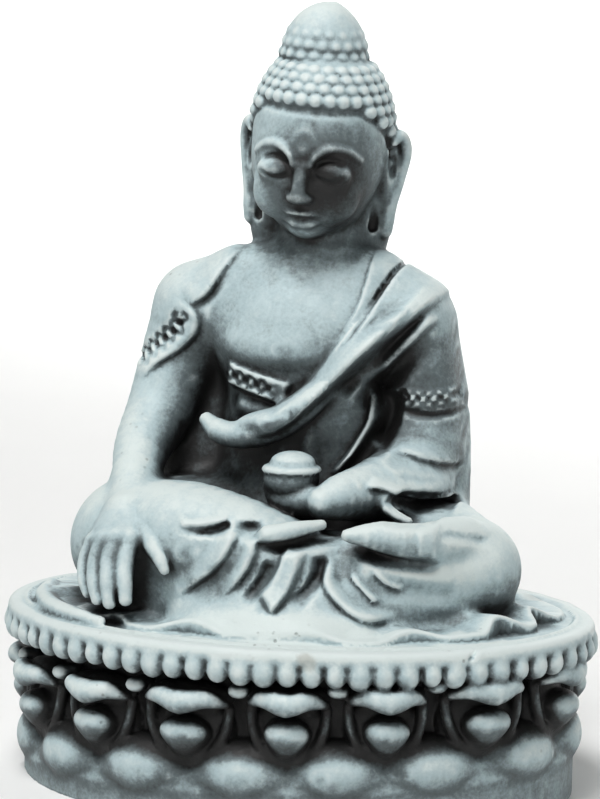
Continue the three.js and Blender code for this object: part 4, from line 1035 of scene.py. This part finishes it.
class Nodes:
    """A short hand for writing a material's nodes."""

    def __init__(self, name):
        self.material = bpy.data.materials.new(name)
        self.material.use_nodes = True
        self.tree = self.material.node_tree
        self.tree.nodes.clear()
        self.where = self.add("ShaderNodeTexCoord").outputs["Object"]

    def add(self, kind, inputs=None, **settings):
        node = self.tree.nodes.new(kind)
        for key, value in settings.items():
            setattr(node, key, value)
        for key, value in (inputs or {}).items():
            if isinstance(value, bpy.types.NodeSocket):
                self.tree.links.new(value, node.inputs[key])
            else:
                node.inputs[key].default_value = value
        return node

    def math(self, operation, a, b):
        return self.add("ShaderNodeMath", {0: a, 1: b}, operation=operation).outputs[0]

    def attribute(self, name):
        return self.add("ShaderNodeAttribute", attribute_name=name).outputs["Fac"]

    def weighed(self, first, *others):
        """A value, plus others that each have a weight."""
        for value, weight in others:
            first = self.math("ADD", first, self.math("MULTIPLY", value, weight))
        return first

    def ramp(self, value, low, high, start=0.0, end=1.0):
        """A smooth step between two values."""
        inputs = {"Value": value, "From Min": low, "From Max": high, "To Min": start, "To Max": end}
        return self.add("ShaderNodeMapRange", inputs, interpolation_type="SMOOTHSTEP").outputs["Result"]

    def noise(self, scale, detail=4.0, roughness=0.55):
        inputs = {"Vector": self.where, "Scale": scale, "Detail": detail, "Roughness": roughness}
        return self.add("ShaderNodeTexNoise", inputs).outputs["Fac"]

    def mix(self, factor, a, b):
        """A mix of two colours: the node's sockets 6 and 7, and its output 2."""
        return self.add("ShaderNodeMix", {0: factor, 6: a, 7: b}, data_type="RGBA").outputs[2]

    def shaded(self, inputs):
        """The material, finished with one shader."""
        shader = self.add("ShaderNodeBsdfPrincipled", inputs)
        self.add("ShaderNodeOutputMaterial", {"Surface": shader.outputs["BSDF"]})
        return self.material


# The clay's colours, from the patina in its grooves to its rubbed crests. They are laid on by how clean and
# how lit each point is, so the dark ones are patina with painted shade and the pale ones clean clay with
# painted light.
PATINA_AND_SHADE = (0.01, 0.01, 0.01, 1)
HALF_WASH_AND_SHADE = (0.12, 0.15, 0.158, 1)
PALE = (0.46, 0.57, 0.59, 1)
PALE_MOTTLED = (0.38, 0.485, 0.51, 1)
CLEAN_AND_LIT = (0.62, 0.69, 0.675, 1)
WORN = (0.66, 0.72, 0.71, 1)
IN_PITS = (0.07, 0.07, 0.07, 1)
# A small brown stain on the rim, with its place in metres.
BROWN = (0.16, 0.11, 0.05, 1)
STAIN = (0.0123, -0.0426, 0.0323)


def clay_material():
    """Blue-grey fired clay with a near-black patina in its hollows, worn pale on its crests, with painted
    shade where little light reaches and painted light where much does.
    """
    n = Nodes("fired_clay")
    fine, near = (n.math("SUBTRACT", n.attribute(name), 0.5) for name in HOLLOWS)
    cloud = n.noise(45.0, 5.0)
    mottle = n.noise(260.0, 6.0, 0.65)
    grain = n.noise(1500.0, 4.0, 0.6)
    speckle = n.math("SUBTRACT", grain, 0.5)
    uneven = n.math("SUBTRACT", n.weighed(0.0, (mottle, 0.55), (cloud, 0.45)), 0.5)
    # How clean and how lit the clay is: about 0.8 in the open, and under 0.3 in a sheltered groove. It joins
    # the patina of the hollows with painted shade from the light that reaches each point, and with the wash
    # and the painted shade and light of the spots.
    lit_and_clean = n.weighed(n.attribute("open_sky"), (fine, -1.1), (near, -0.45), (uneven, 0.5), (speckle, 0.22))
    lit_and_clean = n.math("SUBTRACT", lit_and_clean, n.attribute("wash_and_painted_light"))
    pale = n.mix(n.ramp(mottle, 0.35, 0.65), PALE, PALE_MOTTLED)
    colour = n.mix(n.ramp(lit_and_clean, 0.16, 0.56), PATINA_AND_SHADE, HALF_WASH_AND_SHADE)
    colour = n.mix(n.ramp(lit_and_clean, 0.47, 0.78), colour, pale)
    colour = n.mix(n.ramp(lit_and_clean, 0.72, 1.0), colour, CLEAN_AND_LIT)
    worn = n.math("MULTIPLY", n.ramp(fine, -0.03, -0.14), n.ramp(lit_and_clean, 0.3, 0.7))
    colour = n.mix(n.math("MULTIPLY", worn, 0.6), colour, WORN)
    pits = n.add("ShaderNodeTexVoronoi", {"Vector": n.where, "Scale": 420.0, "Randomness": 1.0})
    pit = n.math("MULTIPLY", n.ramp(pits.outputs["Distance"], 0.2, 0.06), n.ramp(cloud, 0.56, 0.7))
    colour = n.mix(n.math("MULTIPLY", pit, 0.5), colour, IN_PITS)
    away = n.add("ShaderNodeVectorMath", {0: n.where, 1: STAIN}, operation="DISTANCE").outputs["Value"]
    away = n.weighed(away, (n.math("SUBTRACT", mottle, 0.5), 0.004))
    stain = n.math("MULTIPLY", n.ramp(away, 0.0024, 0.0008), 0.35)
    colour = n.mix(stain, colour, BROWN)
    roughness = n.ramp(mottle, 0.3, 0.7, 0.5, 0.68)
    height = n.weighed(0.0, (grain, 0.35), (mottle, 0.65), (pit, -0.8))
    bumped = n.add("ShaderNodeBump", {"Height": height, "Strength": 0.6, "Distance": 0.0004})
    return n.shaded({
        "Base Color": colour,
        "Roughness": roughness,
        "Normal": bumped.outputs["Normal"],
        "Specular IOR Level": 0.4,
    })


def floor_material():
    n = Nodes("pale_floor")
    colour = n.mix(n.noise(6.0), (0.85, 0.85, 0.84, 1), (0.88, 0.88, 0.87, 1))
    return n.shaded({"Base Color": colour, "Roughness": 0.9})


def add_floor():
    """A floor that is flat round the statue and turns up softly far away, so it has no horizon."""
    flat, far, rise, rings, sides = 0.9, 2.6, 1.8, 24, 96
    verts, faces = [(0, 0, 0)], []
    for bend in np.linspace(0, math.pi / 2, rings + 1):
        radius = flat + (far - flat) * math.sin(bend)
        height = rise * (1 - math.cos(bend))
        for turn in np.arange(sides) * 2 * math.pi / sides:
            verts.append((radius * math.cos(turn), radius * math.sin(turn), height))
    for n in range(sides):
        a, b = 1 + n, 1 + (n + 1) % sides
        faces.append((0, a, b))
        for ring in range(0, rings * sides, sides):
            faces.append((a + ring, a + ring + sides, b + ring + sides, b + ring))
    mesh = bpy.data.meshes.new("floor")
    mesh.from_pydata(verts, [], faces)
    mesh.shade_smooth()
    mesh.materials.append(floor_material())
    floor = into_scene("floor", mesh)


# The camera: where it looks from, the point that it looks at, its focal length and its sensor's width.
AZIMUTH = 14
ELEVATION = 6.8
ROLL = 1.2
DISTANCE = 0.520
TARGET = (-0.0006, 0, 0.0743)
FOCAL = 121.07
SENSOR = 36


def add_camera():
    turns = ((AZIMUTH, "Z"), (90 - ELEVATION, "X"), (ROLL, "Z"))
    turned, tilted, rolled = (Matrix.Rotation(math.radians(angle), 4, axis) for angle, axis in turns)
    data = bpy.data.cameras.new("camera")
    data.lens = FOCAL
    data.sensor_width = SENSOR
    data.clip_start = 0.01
    camera = into_scene("camera", data)
    aimed = Matrix.Translation(TARGET) @ turned @ tilted @ rolled
    camera.matrix_world = aimed @ Matrix.Translation((0, 0, DISTANCE))
    bpy.context.scene.camera = camera


def add_light(name, place, aim, size, power):
    data = bpy.data.lights.new(name, "AREA")
    data.shape = "DISK"
    data.size = size
    data.energy = power
    light = into_scene(name, data)
    light.location = place
    light.rotation_mode = "QUATERNION"
    light.rotation_quaternion = (Vector(aim) - Vector(place)).to_track_quat("-Z", "Y")


def add_lights():
    add_light("overhead", (-0.12, -0.45, 1.1), (0, 0, 0.05), size=0.5, power=12)
    add_light("front", (0.12, -1.0, 0.5), (0, 0, 0.07), size=0.4, power=1.4)
    add_light("back", (0.1, 0.8, 0.8), (0, 0, 0.08), size=0.5, power=0.5)
    add_light("wall", (0.3, 1.3, 1.3), (0.5, 2.4, 0.1), size=1.2, power=40)
    world = bpy.data.worlds.new("studio")
    world.use_nodes = True
    background = world.node_tree.nodes["Background"].inputs
    background["Color"].default_value = (0.93, 0.96, 1, 1)
    background["Strength"].default_value = 0.06
    bpy.context.scene.world = world
    bpy.context.scene.view_settings.view_transform = "Standard"


statue = make_statue()
statue.data.materials.append(clay_material())
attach(statue, "root")
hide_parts("buddha_statue")
add_floor()
add_camera()
add_lights()
